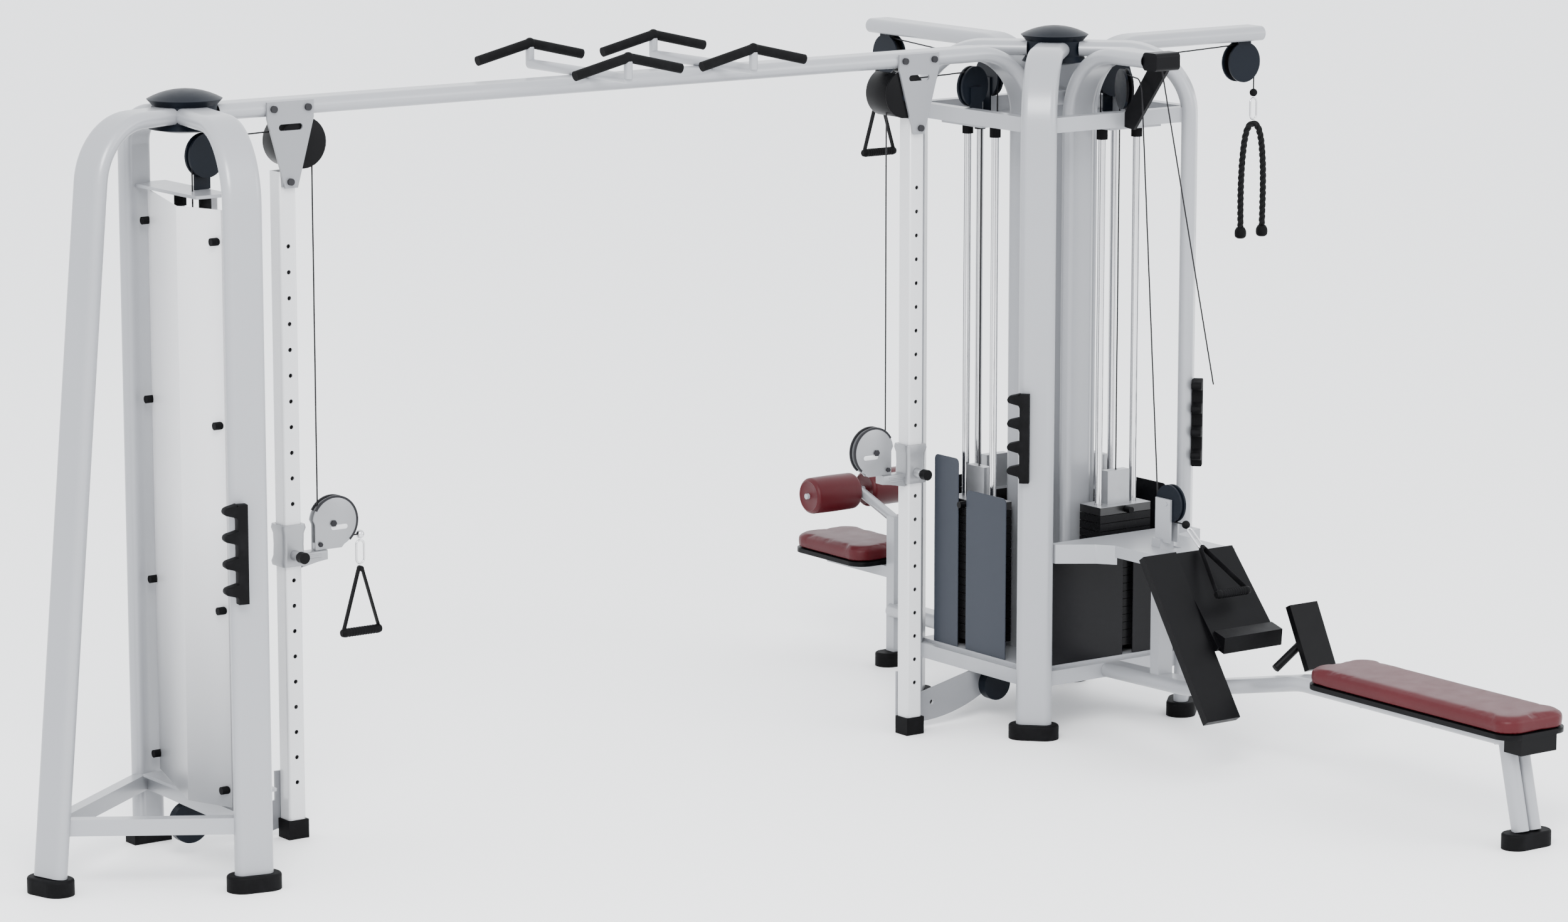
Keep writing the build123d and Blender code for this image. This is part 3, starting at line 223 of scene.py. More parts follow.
# ---- Columns, brackets and the tower shroud -----------------------------------------------
# Folded sheet and square tube in a lighter, glossier white than the frame.
panel_white = powder_coat("panel_white", (0.52, 0.525, 0.535), 0.30, 0.15)
dress(panel_white, "adjust_columns")
shroud_coat_and_shade = powder_coat("tower_shroud_coat_and_shade", (0.80, 0.80, 0.81), 0.32, 0.15)
SHROUD_SHADE_LOW, SHROUD_SHADE_HIGH = 0.25, 1.15        # painted shade: the shroud darkens towards the floor between these
# Painted shade: the shroud's colour runs from light grey up high to dark grey at the floor.
shroud_floor_shade = shroud_coat_and_shade.ramp(shroud_coat_and_shade.along(2), SHROUD_SHADE_LOW, SHROUD_SHADE_HIGH)
shroud_coat_and_shade.feed("Base Color", shroud_coat_and_shade.mix(shroud_floor_shade, (0.20, 0.205, 0.215), (0.62, 0.62, 0.63)))
dress(shroud_coat_and_shade, "tower_shroud")
bracket_grey = powder_coat("bracket_grey", (0.17, 0.175, 0.187), 0.36)
dress(bracket_grey, "column_brackets")


# ---- Stack panels -------------------------------------------------------------------------
# Folded black steel panels in front of each stack. Their side face on the column side is painted a lighter
# slate grey as painted light, and the rest is black.
stack_black = powder_coat("stack_black", (0.008, 0.008, 0.010), 0.30)
PANEL_SKIN = 0.006
panel_low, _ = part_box("core_shrouds")
painted_lit_side = stack_black.ramp(stack_black.along(0), panel_low.x + PANEL_SKIN, panel_low.x + 2 * PANEL_SKIN)
# Painted light: the side face is coloured slate grey for the light it catches, and the front stays black.
stack_black.feed("Base Color", stack_black.mix(painted_lit_side, (0.024, 0.028, 0.037), (0.004, 0.004, 0.005)))
stack_black.feed("Metallic", 0.0)
stack_black.shader.inputs["Coat Weight"].default_value = 0.0
stack_black.shader.inputs["Specular IOR Level"].default_value = 0.12
dress(stack_black, "core_shrouds")


# ---- Weight stacks ------------------------------------------------------------------------
# Cast plates in black enamel under a top plate that carries a silver label plate.
ENAMEL = (0.005, 0.005, 0.0055)
LABEL_H = 0.115
LABEL_EDGE = 0.0005
iron = moulded("black_enamel", ENAMEL, 0.28, 300.0, 0.35)
dress(iron, "weight_plates")
for name in [n for n in nodes if n.endswith("stack_head")]:
    label_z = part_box(name)[1].z - LABEL_H
    head = Finish(f"{name}_finish")
    is_label = head.ramp(head.along(2), label_z - LABEL_EDGE, label_z + LABEL_EDGE)
    silver = head.mix(head.noise(40.0), (0.24, 0.245, 0.255), (0.29, 0.295, 0.31))
    head.feed("Base Color", head.mix(is_label, ENAMEL, silver))
    head.feed("Metallic", is_label * 0.6)
    head.feed("Roughness", head.noise(60.0) * 0.12 + 0.26)
    head.bump(head.noise(500.0), 0.15, 0.0003)
    dress(head, name)


# ---- Bright steel -------------------------------------------------------------------------
# Chromed guide rods and snap links, with faint lengthwise wiping marks. The bolts are
# blackened steel.
def bright_steel(name, colour, rough):
    steel = Finish(name)
    wipe = steel.node("ShaderNodeMapping", {}, {"Vector": steel.place, "Scale": (60.0, 60.0, 3.0)})
    marks = steel.noise(8.0, 4.0, wipe)
    steel.feed("Base Color", steel.mix(marks, tint(colour, 0.9), colour))
    steel.feed("Metallic", 1.0)
    steel.feed("Roughness", marks * 0.10 + rough)
    steel.bump(marks, 0.05, 0.0002)
    return steel


chrome = bright_steel("chrome", (0.62, 0.62, 0.63), 0.10)
dress(chrome, "guide_rods", "tower_carabiner", "triceps_carabiner")
fastener_black = moulded("bolt_black", (0.02, 0.02, 0.022), 0.35)
dress(fastener_black, "fasteners")


# ---- Carriages ----------------------------------------------------------------------------
# Castings painted silver: a sleeve on the column, and cheeks that swivel with the wheel.
cast_silver = powder_coat("cast_silver", (0.22, 0.225, 0.235), 0.34, 0.5)
cast_silver.feed("Metallic", 0.55)
dress(cast_silver, "tower_carriage", "core_carriage", "tower_swivel", "core_swivel")


# ---- Upholstered pads ---------------------------------------------------------------------
# Wine-red vinyl drawn tight over foam and stapled under a black base. The foam crowns the
# top and swells the sides a little.
vinyl = Finish("wine_vinyl")
patch = vinyl.noise(3.5, 3.0)
vinyl.feed("Base Color", vinyl.mix(patch, (0.040, 0.0018, 0.0038), (0.054, 0.0028, 0.0056)))
vinyl.feed("Roughness", vinyl.noise(16.0) * 0.14 + 0.36)
cells = vinyl.node("ShaderNodeTexVoronoi", {"feature": "DISTANCE_TO_EDGE"},
                   {"Vector": vinyl.place, "Scale": 520.0})
vinyl.bump(cells * 1.4 + vinyl.noise(60.0) * 0.6, 0.22, 0.0006)
vinyl.shader.inputs["Specular IOR Level"].default_value = 0.2

PAD_SHRINK = 0.006
PAD_CORNER_R = 0.062
PAD_TOP_R = 0.012
PAD_TOP_BAND = 0.015             # edges this near the top are rounded over
PAD_CAP = 0.010                  # the most that the foam may swell
VOXEL = 0.006
PRESSURE = 4.0
CLOTH_STEPS = 20
SEAM_Z = 0.012                   # the seam's height over the base, its width and its depth
SEAM_W = 0.0035
SEAM_DEPTH = 0.0022
PAD_END = 0.100                  # how far the pad's middle line stops short of its ends
SEAM_REACH = 0.090


def stuffed_pad(name, node):
    """The pad's own block, blown up as cloth and held to a few millimetres."""
    low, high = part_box(node)
    bm = bmesh.new()
    bmesh.ops.create_cube(bm, size=1.0, matrix=Matrix.Translation((low + high) / 2)
                          @ Matrix.Diagonal((*(high - low - Vector((2, 2, 1)) * PAD_SHRINK), 1)))
    upright = [e for e in bm.edges if abs(e.verts[0].co.z - e.verts[1].co.z) > 0.01]
    bmesh.ops.bevel(bm, geom=upright, offset=PAD_CORNER_R, affect="EDGES", segments=10, profile=0.5,
                    material=-1)
    top_edges = [e for e in bm.edges if min(v.co.z for v in e.verts) > high.z - PAD_TOP_BAND]
    bmesh.ops.bevel(bm, geom=top_edges, offset=PAD_TOP_R, affect="EDGES", segments=3, profile=0.5,
                    material=-1)
    mesh = bpy.data.meshes.new(name)
    bm.to_mesh(mesh)
    bm.free()
    pad = bpy.data.objects.new(name, mesh)
    bpy.context.scene.collection.objects.link(pad)
    bpy.context.view_layer.objects.active = pad
    remesh = pad.modifiers.new("remesh", "REMESH")
    remesh.mode, remesh.voxel_size = "VOXEL", VOXEL
    bpy.ops.object.modifier_apply(modifier="remesh")
    rest = [v.co.copy() for v in pad.data.vertices]
    floor_z = low.z + 0.001
    cloth = pad.modifiers.new("cloth", "CLOTH")
    cloth.settings.use_pressure = True
    cloth.settings.uniform_pressure_force = PRESSURE
    cloth.settings.effector_weights.gravity = 0
    for step in range(1, CLOTH_STEPS + 1):
        bpy.context.scene.frame_set(step)
    bpy.ops.object.modifier_apply(modifier="cloth")
    for vertex, start in zip(pad.data.vertices, rest):
        move = vertex.co - start
        if move.length > PAD_CAP:
            vertex.co = start + move * (PAD_CAP / move.length)
        seam = math.exp(-((vertex.co.z - low.z - SEAM_Z) / SEAM_W) ** 2)
        middle_y = min(max(vertex.co.y, low.y + PAD_END), high.y - PAD_END)
        centre = Vector(((low.x + high.x) / 2, middle_y, vertex.co.z))
        inward = centre - vertex.co
        if inward.length > SEAM_REACH:
            vertex.co += inward.normalized() * SEAM_DEPTH * seam
        vertex.co.z = max(vertex.co.z, floor_z)
    smooth = pad.modifiers.new("smooth", "SUBSURF")
    smooth.levels = smooth.render_levels = 1
    bpy.ops.object.modifier_apply(modifier="smooth")
    shade(pad, vinyl, 60)
    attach(pad, "frame")
    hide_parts(node)
    return pad


stuffed_pad("row_bench_cushion", "row_seat_pad")
stuffed_pad("pulldown_seat_cushion", "lat_seat_pad")


def link_object(name, bm, finish, angle=40):
    """Turns a form into a finished piece of that name."""
    bmesh.ops.recalc_face_normals(bm, faces=bm.faces)
    mesh = bpy.data.meshes.new(name)
    bm.to_mesh(mesh)
    bm.free()
    obj = bpy.data.objects.new(name, mesh)
    bpy.context.scene.collection.objects.link(obj)
    shade(obj, finish, angle)
    return obj


def absorb(bm, part):
    """Adds one form to another and frees it."""
    piece = bpy.data.meshes.new("piece")
    part.to_mesh(piece)
    part.free()
    bm.from_mesh(piece)
    bpy.data.meshes.remove(piece)


def spun(outline, centre, axis, steps=48):
    """A closed form from (along, radius) points spun about an axis through centre."""
    bm = bmesh.new()
    axis = Vector(axis).normalized()
    side = axis.orthogonal().normalized()
    verts = [bm.verts.new(Vector(centre) + axis * a + side * r) for a, r in outline]
    edges = [bm.edges.new(pair) for pair in zip(verts, verts[1:] + verts[:1])]
    bmesh.ops.spin(bm, geom=verts + edges, cent=centre, axis=axis, angle=math.tau, steps=steps,
                   use_merge=True, use_duplicate=False)
    bmesh.ops.remove_doubles(bm, verts=bm.verts, dist=0.00005)
    return bm


# ---- Thigh rollers ------------------------------------------------------------------------
# Two foam rollers on one axle, each a vinyl sleeve gathered over its ends.
roll_low, roll_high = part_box("thigh_roller")
roll_mid = (roll_low + roll_high) / 2
ROLL_R = (roll_high.z - roll_low.z) / 2
ROLL_GAP = 0.024                 # half the bare axle between the rollers
ROLL_EDGE = 0.016
ROLL_DISH = 0.004                # how far each end is drawn in towards its bore
BORE_R = 0.0105
for side in (-1, 1):
    inner, outer = ROLL_GAP, roll_high.x - roll_mid.x
    outline = [(side * inner, BORE_R), (side * (inner + ROLL_DISH), ROLL_R - ROLL_EDGE)]
    for i in range(1, 6):
        turn = math.pi / 2 * i / 5
        outline.append((side * (inner + ROLL_EDGE - ROLL_EDGE * math.cos(turn)),
                        ROLL_R - ROLL_EDGE + ROLL_EDGE * math.sin(turn)))
    outline.append((side * (inner + outer) / 2, ROLL_R + 0.001))
    for i in range(5, 0, -1):
        turn = math.pi / 2 * i / 5
        outline.append((side * (outer - ROLL_EDGE + ROLL_EDGE * math.cos(turn)),
                        ROLL_R - ROLL_EDGE + ROLL_EDGE * math.sin(turn)))
    outline += [(side * (outer - ROLL_DISH), ROLL_R - ROLL_EDGE), (side * outer, BORE_R)]
    roller = link_object(f"thigh_roller_{'left' if side < 0 else 'right'}",
                         spun(outline, roll_mid, (1, 0, 0), 64), vinyl, 60)
    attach(roller, "thigh_roller")
    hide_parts("thigh_roller")


# ---- Rope ---------------------------------------------------------------------------------
# A doubled rope of three laid strands, hung by its middle from a snap link, with a moulded
# rubber knob on each end. Its route is one smooth line through the points below.
ROPE_R = 0.012
STRAND_R = 0.0059
LAY = 0.062                      # one full turn of a strand
SAME_POINT = 0.0005
ROPE_ROUTE = [(0.840, 1.606), (0.837, 1.716), (0.842, 1.836), (0.854, 1.926), (0.873, 1.966),
              (0.907, 1.966), (0.927, 1.924), (0.939, 1.832), (0.941, 1.716), (0.938, 1.606)]


def smooth_line(name, points):
    """Points read along a NURBS spline that has the given control points."""
    data = bpy.data.curves.new(name, "CURVE")
    data.dimensions, data.resolution_u = "3D", 24
    spline = data.splines.new("NURBS")
    spline.points.add(len(points) - 1)
    for point, at in zip(spline.points, points):
        point.co = (*at, 1)
    spline.order_u = 3
    spline.use_endpoint_u = True
    guide = bpy.data.objects.new(name, data)
    bpy.context.scene.collection.objects.link(guide)
    bpy.context.view_layer.update()
    read = bpy.data.meshes.new_from_object(guide)
    line = [read.vertices[0].co.copy()]
    for vertex in read.vertices:
        if (vertex.co - line[-1]).length > SAME_POINT:
            line.append(vertex.co.copy())
    bpy.data.objects.remove(guide)
    return line


def tube_along(bm, line, radius, sides=10):
    """A round tube with closed ends that follows a line of points."""
    rings = []
    side = (line[1] - line[0]).orthogonal().normalized()
    for i, point in enumerate(line):
        ahead = (line[min(i + 1, len(line) - 1)] - line[max(i - 1, 0)]).normalized()
        side = (side - ahead * side.dot(ahead)).normalized()
        other = ahead.cross(side)
        turns = [math.tau * k / sides for k in range(sides)]
        rings.append([bm.verts.new(point + (side * math.cos(t) + other * math.sin(t)) * radius)
                      for t in turns])
    for near, far in zip(rings, rings[1:]):
        for k in range(sides):
            bm.faces.new((near[k], near[(k + 1) % sides], far[(k + 1) % sides], far[k]))
    bm.faces.new(reversed(rings[0]))
    bm.faces.new(rings[-1])


rope_line = smooth_line("rope_route", [(core.x + x, core.y, z) for x, z in ROPE_ROUTE])
rope_bm = bmesh.new()
for strand in range(3):
    twisted, run = [], 0.0
    for i, point in enumerate(rope_line):
        run += (point - rope_line[i - 1]).length if i else 0.0
        ahead = (rope_line[min(i + 1, len(rope_line) - 1)] - rope_line[max(i - 1, 0)]).normalized()
        across = Vector((0, 1, 0))
        turn = math.tau * (strand / 3 + run / LAY)
        lift = across * math.cos(turn) + ahead.cross(across) * math.sin(turn)
        twisted.append(point + lift * (ROPE_R - STRAND_R))
    tube_along(rope_bm, twisted, STRAND_R)

rope_cloth = Finish("rope_black")
fibres = rope_cloth.noise(1400.0, 2.0)
rope_cloth.feed("Base Color", rope_cloth.mix(fibres, (0.002, 0.002, 0.0022), (0.008, 0.008, 0.0085)))
rope_cloth.feed("Roughness", fibres * 0.2 + 0.68)
rope_cloth.bump(fibres, 0.6, 0.0005)
rope_cloth.shader.inputs["Specular IOR Level"].default_value = 0.1
rope = link_object("triceps_rope_strands", rope_bm, rope_cloth, 60)
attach(rope, "triceps_rope")
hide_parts("triceps_rope")

knob_low, knob_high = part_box("triceps_rope_ends")
KNOB_R = 0.021
knob_bm = bmesh.new()
for x in (knob_low.x + KNOB_R, knob_high.x - KNOB_R):
    height = knob_high.z - knob_low.z
    outline = [(0, 0), (0, 0.011), (0.003, 0.0165), (0.008, 0.0200), (0.016, KNOB_R), (0.026, 0.0205),
               (height - 0.006, 0.0175), (height - 0.001, 0.0145), (height, 0.0125), (height, 0)]
    absorb(knob_bm, spun(outline, Vector((x, core.y, knob_low.z)), (0, 0, 1), 40))
knobs = link_object("triceps_rope_knobs", knob_bm, black_rubber, 50)
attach(knobs, "triceps_rope")
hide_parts("triceps_rope_ends")


# ---- Rounded edges ------------------------------------------------------------------------
# Folded sheet, castings and mouldings have small edge radii that catch the light. Each such
# piece is welded, its flat faces are joined, and its sharp edges are rounded.
WELD_GAP = 0.00002
FLAT_ANGLE, SHARP_ANGLE = math.radians(1.0), math.radians(35)


def soften(radius, *names):
    """Rounds the sharp edges of these nodes with modifiers, and leaves their meshes alone."""
    for name in names:
        part = nodes[name]
        weld = part.modifiers.new("weld", "WELD")
        weld.merge_threshold = WELD_GAP
        flat = part.modifiers.new("flat", "DECIMATE")
        flat.decimate_type, flat.angle_limit = "DISSOLVE", FLAT_ANGLE
        edge = part.modifiers.new("edge", "BEVEL")
        edge.width, edge.segments, edge.limit_method = radius, 2, "ANGLE"
        edge.angle_limit, edge.use_clamp_overlap, edge.harden_normals = SHARP_ANGLE, True, True


soften(0.0016, "column_brackets", "core_shrouds", "tower_shroud", "adjust_columns")
soften(0.004, "row_footdeck", "seat_pans", "row_shelf")
soften(0.0022, "lat_seat_frame", *[n for n in nodes if n.endswith("stack_head")])


# ---- Flat plates --------------------------------------------------------------------------
# Cheeks, racks and covers are cut from plate or moulded flat: an outline in the XZ plane is
# given a thickness along Y, and its edges are rounded.
def arc(cx, cz, radius, start, end, steps=10):
    """Points along an arc between two angles in degrees."""
    turns = [math.radians(start + (end - start) * i / steps) for i in range(steps + 1)]
    return [(cx + radius * math.cos(t), cz + radius * math.sin(t)) for t in turns]


def plate(bm, outline, y, thickness, bevel, turn=None):
    """Adds a plate of that thickness, set in place by the turn if one is given."""
    made = bmesh.new()
    face = made.faces.new([made.verts.new((px, y, pz)) for px, pz in outline])
    grown = bmesh.ops.extrude_face_region(made, geom=[face])["geom"]
    lifted = [v for v in grown if isinstance(v, bmesh.types.BMVert)]
    bmesh.ops.translate(made, verts=lifted, vec=(0, thickness, 0))
    rim = [e for e in made.edges if abs(e.verts[0].co.y - e.verts[1].co.y) < thickness / 2]
    bmesh.ops.bevel(made, geom=rim, offset=bevel, affect="EDGES", segments=2, profile=0.5, material=-1)
    if turn:
        bmesh.ops.transform(made, matrix=turn, verts=made.verts)
    absorb(bm, made)


def add_block(bm, low, high, bevel):
    """Adds a block with rounded edges between two corners."""
    made = bmesh.new()
    low, high = Vector(low), Vector(high)
    bmesh.ops.create_cube(made, size=1.0, matrix=Matrix.Translation((low + high) / 2)
                          @ Matrix.Diagonal((*(high - low), 1)))
    bmesh.ops.bevel(made, geom=made.edges[:], offset=bevel, affect="EDGES", segments=3, profile=0.5,
                    material=-1)
    absorb(bm, made)


# ---- Pulley carriages ---------------------------------------------------------------------
# On each column a silver casting carries two round steel cheeks that turn with the pulley
# between them. A black rim guards the cheeks' edge, and a hexagon bolt holds the axle.
CHEEK_R = 0.080
CHEEK_T = 0.005
CHEEK_IN = 0.009                 # half the room between the cheeks
BOLT_R, SMALL_BOLT_R = 0.011, 0.008
BOLT_H = 0.0075
RIM_OUT, RIM_IN = 0.0028, 0.0045  # how far the rim stands past the cheeks' edge and laps over it
PIVOT_BACK = 0.048               # the pivot's place behind the axle
FOOT_DROP = 0.0797               # the cheeks' lower end under the axle
SLOT_R, SLOT_HALF = 0.0075, 0.022
SLEEVE_HALF = 0.0425
SLEEVE_BORE = 0.0308
ARM_T = 0.034
ARM_GAP = 0.0006                 # between the casting's arm and the cheeks over it
ARM_END = 0.024                  # how far the arm reaches past the pivot
ARM_HALF = 0.023
bolt_black = moulded("bolt_black_oxide", (0.016, 0.016, 0.018), 0.32, 700.0, 0.15)


def facing(angle, side):
    """An angle seen from the front, mirrored for the carriage that faces the other way."""
    return angle if side > 0 else 180 - angle


for which, side in (("tower", 1), ("core", -1)):
    wheel_low, wheel_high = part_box(f"{which}_wheel")
    axle = (wheel_low + wheel_high) / 2
    pivot_x = axle.x - side * PIVOT_BACK
    hub_x, hub_z = axle.x + side * 0.008, axle.z + 0.004
    cheeks = bmesh.new()
    foot_z = axle.z - FOOT_DROP
    near_x, far_x = axle.x - side * 0.064, axle.x + side * 0.030
    cheek = arc(hub_x, hub_z, CHEEK_R, facing(-66, side), facing(172, side), 40)
    cheek += [(near_x, axle.z), (near_x, foot_z), (far_x, foot_z)]
    for y in (axle.y - CHEEK_IN - CHEEK_T, axle.y + CHEEK_IN):
        plate(cheeks, cheek, y, CHEEK_T, 0.0012)
    add_block(cheeks, (min(near_x, far_x) + 0.001, axle.y - CHEEK_IN, foot_z + 0.0005),
              (max(near_x, far_x) - 0.001, axle.y + CHEEK_IN, axle.z - 0.057), 0.0008)
    swivel = link_object(f"{which}_pulley_cheeks", cheeks, cast_silver)
    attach(swivel, f"{which}_swivel")
    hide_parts(f"{which}_swivel")

    trim = bmesh.new()
    rim_start, rim_end = facing(-50, side), facing(150, side)
    rim = arc(hub_x, hub_z, CHEEK_R + RIM_OUT, rim_start, rim_end, 40)
    rim += arc(hub_x, hub_z, CHEEK_R - RIM_IN, rim_end, rim_start, 40)
    for y in (axle.y - CHEEK_IN - CHEEK_T - 0.0012, axle.y + CHEEK_IN - 0.0004):
        plate(trim, rim, y, CHEEK_T + 0.0016, 0.001)
    for at_x, at_z, radius in ((axle.x, axle.z, BOLT_R), (pivot_x, axle.z - 0.062, SMALL_BOLT_R)):
        hexagon = arc(at_x, at_z, radius, 0, 300, 5)
        plate(trim, hexagon, axle.y - CHEEK_IN - CHEEK_T - BOLT_H, BOLT_H, 0.001)
    trims = link_object(f"{which}_pulley_trim", trim, bolt_black)
    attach(trims, f"{which}_swivel")

    badge = bmesh.new()
    slot_x, slot_z = axle.x + side * 0.022, axle.z - 0.014
    long_hole = arc(slot_x + SLOT_HALF, slot_z, SLOT_R, -90, 90, 8)
    long_hole += arc(slot_x - SLOT_HALF, slot_z, SLOT_R, 90, 270, 8)
    plate(badge, long_hole, axle.y - CHEEK_IN - CHEEK_T - 0.0006, 0.001, 0.0002)
    marks = link_object(f"{which}_pulley_slot", badge, panel_white)
    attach(marks, f"{which}_swivel")

    # The casting: a sleeve on the column, waisted in the middle, with ridges along its arm.
    car_low, car_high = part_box(f"{which}_carriage")
    post_x = (car_low.x + SLEEVE_HALF) if side > 0 else (car_high.x - SLEEVE_HALF)
    casting = bmesh.new()
    mid_z = (car_low.z + car_high.z) / 2
    rows = [(car_low.z, -0.002), (car_low.z + 0.012, 0.0), (mid_z - 0.035, -0.0045), (mid_z, -0.0055),
            (mid_z + 0.035, -0.0045), (car_high.z - 0.012, 0.0), (car_high.z, -0.002)]
    outs, ins = [], []
    for z, grow in rows:
        for reach, corner, rings in ((SLEEVE_HALF + grow, 0.012, outs), (SLEEVE_BORE, 0.004, ins)):
            ring = []
            for cx, cy, start in ((1, 1, 0), (-1, 1, 90), (-1, -1, 180), (1, -1, 270)):
                for px, py in arc(cx * (reach - corner), cy * (reach - corner), corner, start, start + 90, 4):
                    ring.append(casting.verts.new((post_x + px, axle.y + py, z)))
            rings.append(ring)
    count = len(outs[0])
    walls = [*zip(outs, outs[1:]), *zip(ins, ins[1:]), (outs[0], ins[0]), (outs[-1], ins[-1])]
    for one, two in walls:
        for k in range(count):
            casting.faces.new((one[k], one[(k + 1) % count], two[(k + 1) % count], two[k]))
    arm_top = axle.z - FOOT_DROP - ARM_GAP
    arm_low = arm_top - ARM_T
    root_x, tip_x = post_x + side * (SLEEVE_HALF - 0.008), pivot_x + side * ARM_END
    arm = [(root_x, arm_low - 0.012), (pivot_x - side * 0.01, arm_low), (tip_x, arm_low + 0.004),
           (tip_x, arm_top), (root_x, arm_top)]
    plate(casting, arm, axle.y - ARM_HALF, 2 * ARM_HALF, 0.005)
    for z in (arm_low + 0.010, arm_low + 0.022):
        add_block(casting, (min(root_x, pivot_x), axle.y - 0.0255, z),
                  (max(root_x, pivot_x), axle.y - 0.0225, z + 0.004), 0.0012)
    pin_boss = [(0.0, 0.0), (0.0, 0.017), (0.020, 0.0145), (0.0225, 0.012), (0.0225, 0.0)]
    boss_at = Vector((post_x, axle.y - SLEEVE_HALF + 0.003, axle.z - 0.080))
    absorb(casting, spun(pin_boss, boss_at, (0, -1, 0), 40))
    body = link_object(f"{which}_carriage_casting", casting, cast_silver)
    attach(body, f"{which}_carriage")
    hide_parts(f"{which}_carriage")


# ---- Accessory racks ----------------------------------------------------------------------
# Moulded black combs bolted to the outside of four legs, with four blunt prongs each.
RACK_W = 0.036
RACK_H = 0.300
SPINE = 0.032
PRONG = 0.042
PRONG_FOOT, PRONG_H = 0.014, 0.060
TIP_R = 0.0125
RACK_IN = 0.018                  # how far the spine lies inside the leg's outline
CORE_HALF = 0.325                # from the core's centre line to its legs, both ways
SKIN = 0.025                     # from a leg's middle to its flat face
TOWER_FRONT = Vector((-0.097, -0.500, 0))
front_turn = math.atan2(-TOWER_FRONT.x, TOWER_FRONT.y) + math.pi


def comb():
    """The rack's outline: a straight back, and prongs with rounded tips and roots."""
    outline = [(0, 0), (0, RACK_H), (-SPINE, RACK_H)]
    for i in (3, 2, 1, 0):
        z = PRONG_FOOT + i * (RACK_H - PRONG_H) / 3
        outline += [(-SPINE, z + 0.048), (-SPINE - PRONG + 0.010, z + 0.040)]
        outline += arc(-SPINE - PRONG + TIP_R, z + 0.0275, TIP_R, 90, 270, 6)
        outline += [(-SPINE - 0.004, z + 0.008), (-SPINE, z)]
    return outline + [(-SPINE, 0)]


rack_bm = bmesh.new()
for foot, turn, z in ((core + Vector((-CORE_HALF, -CORE_HALF, 0)), math.radians(-45), 0.880),
                      (core + Vector((CORE_HALF, -CORE_HALF, 0)), math.radians(45), 0.870),
                      (core + Vector((CORE_HALF, CORE_HALF, 0)), math.radians(135), 0.880),
                      (tower + TOWER_FRONT, front_turn, 0.885)):
    place = (Matrix.Translation(foot + Vector((0, 0, z))) @ Matrix.Rotation(turn, 4, "Z")
             @ Matrix.Translation((-RACK_IN, -SKIN - RACK_W, 0)))
    plate(rack_bm, comb(), 0.0, RACK_W, 0.004, place)
racks = link_object("accessory_rack_combs", rack_bm, black_rubber)
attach(racks, "frame")
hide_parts("accessory_racks")


# ---- Stirrup handles ----------------------------------------------------------------------
# Each is a webbing strap whose two sides run from a small round head down to the ends of
# a ribbed rubber grip. Two of them hang from a bent wire snap link.
GRIP_R = 0.0145
GRIP_HALF = 0.066
GRIP_END_R = 0.0120
RIB_PITCH, RIB_DEPTH = 0.0098, 0.0012
HANDLE_DROP = 0.200
STRAP_W = 0.020
STRAP_T = 0.0032
DOWN, ALONG = Vector((0, 0, -1)), Vector((1, 0, 0))
webbing = rubber("black_webbing", (0.003, 0.003, 0.0034))


def stirrup(name, node, apex, down):
    """The handle that stands for a node and rides its body, hanging along down."""
    out = down.cross(ALONG)
    grip_at = apex + down * HANDLE_DROP
    straps, grip = bmesh.new(), bmesh.new()
    for s in (-1, 1):
        start, end = apex + ALONG * (s * 0.006), grip_at + ALONG * (s * GRIP_HALF)
        side = (end - start).normalized().cross(out) * (STRAP_T / 2)
        corners = [start - side, start + side, end + side, end - side]
        bottom = [straps.verts.new(c - out * (STRAP_W / 2)) for c in corners]
        top = [straps.verts.new(c + out * (STRAP_W / 2)) for c in corners]
        straps.faces.new(bottom)
        straps.faces.new(reversed(top))
        for k in range(4):
            straps.faces.new((bottom[k], top[k], top[(k + 1) % 4], bottom[(k + 1) % 4]))
    bmesh.ops.recalc_face_normals(straps, faces=straps.faces)
    bmesh.ops.bevel(straps, geom=straps.edges[:], offset=0.0009, affect="EDGES", segments=2, profile=0.5,
                    material=-1)
    head = [(-0.011, 0.0), (-0.011, 0.006), (-0.008, 0.009), (0.008, 0.009), (0.011, 0.006), (0.011, 0.0)]
    absorb(straps, spun(head, apex + down * 0.001, out, 24))
    outline = [(-GRIP_HALF - 0.006, 0.0), (-GRIP_HALF - 0.006, 0.010), (-GRIP_HALF - 0.004, GRIP_END_R),
               (-GRIP_HALF + 0.006, GRIP_R)]
    for i in range(11):
        at = (i - 5) * RIB_PITCH
        outline += [(at - 0.0036, GRIP_R), (at - 0.0018, GRIP_R - RIB_DEPTH),
                    (at + 0.0018, GRIP_R - RIB_DEPTH), (at + 0.0036, GRIP_R)]
    outline += [(GRIP_HALF - 0.006, GRIP_R), (GRIP_HALF + 0.004, GRIP_END_R), (GRIP_HALF + 0.006, 0.010),
                (GRIP_HALF + 0.006, 0.0)]
    absorb(grip, spun(outline, grip_at, ALONG, 32))
    for label, bm, finish, slot in (("strap", straps, webbing, "black_plastic"),
                                    ("grip", grip, black_rubber, "black_rubber")):
        piece = link_object(f"{name}_{label}", bm, finish, 45)
        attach(piece, node)
        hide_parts(node)


HEAD_R = 0.009
low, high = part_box("tower_handle")
tower_apex = Vector(((low.x + high.x) / 2, (low.y + high.y) / 2, high.z - HEAD_R))
stirrup("crossover_handle", "tower_handle", tower_apex, DOWN)

WIRE_R = 0.0035
LINK_HALF_W = 0.0095
LINK_END = 0.011                 # from a link's end to the middle of its bend


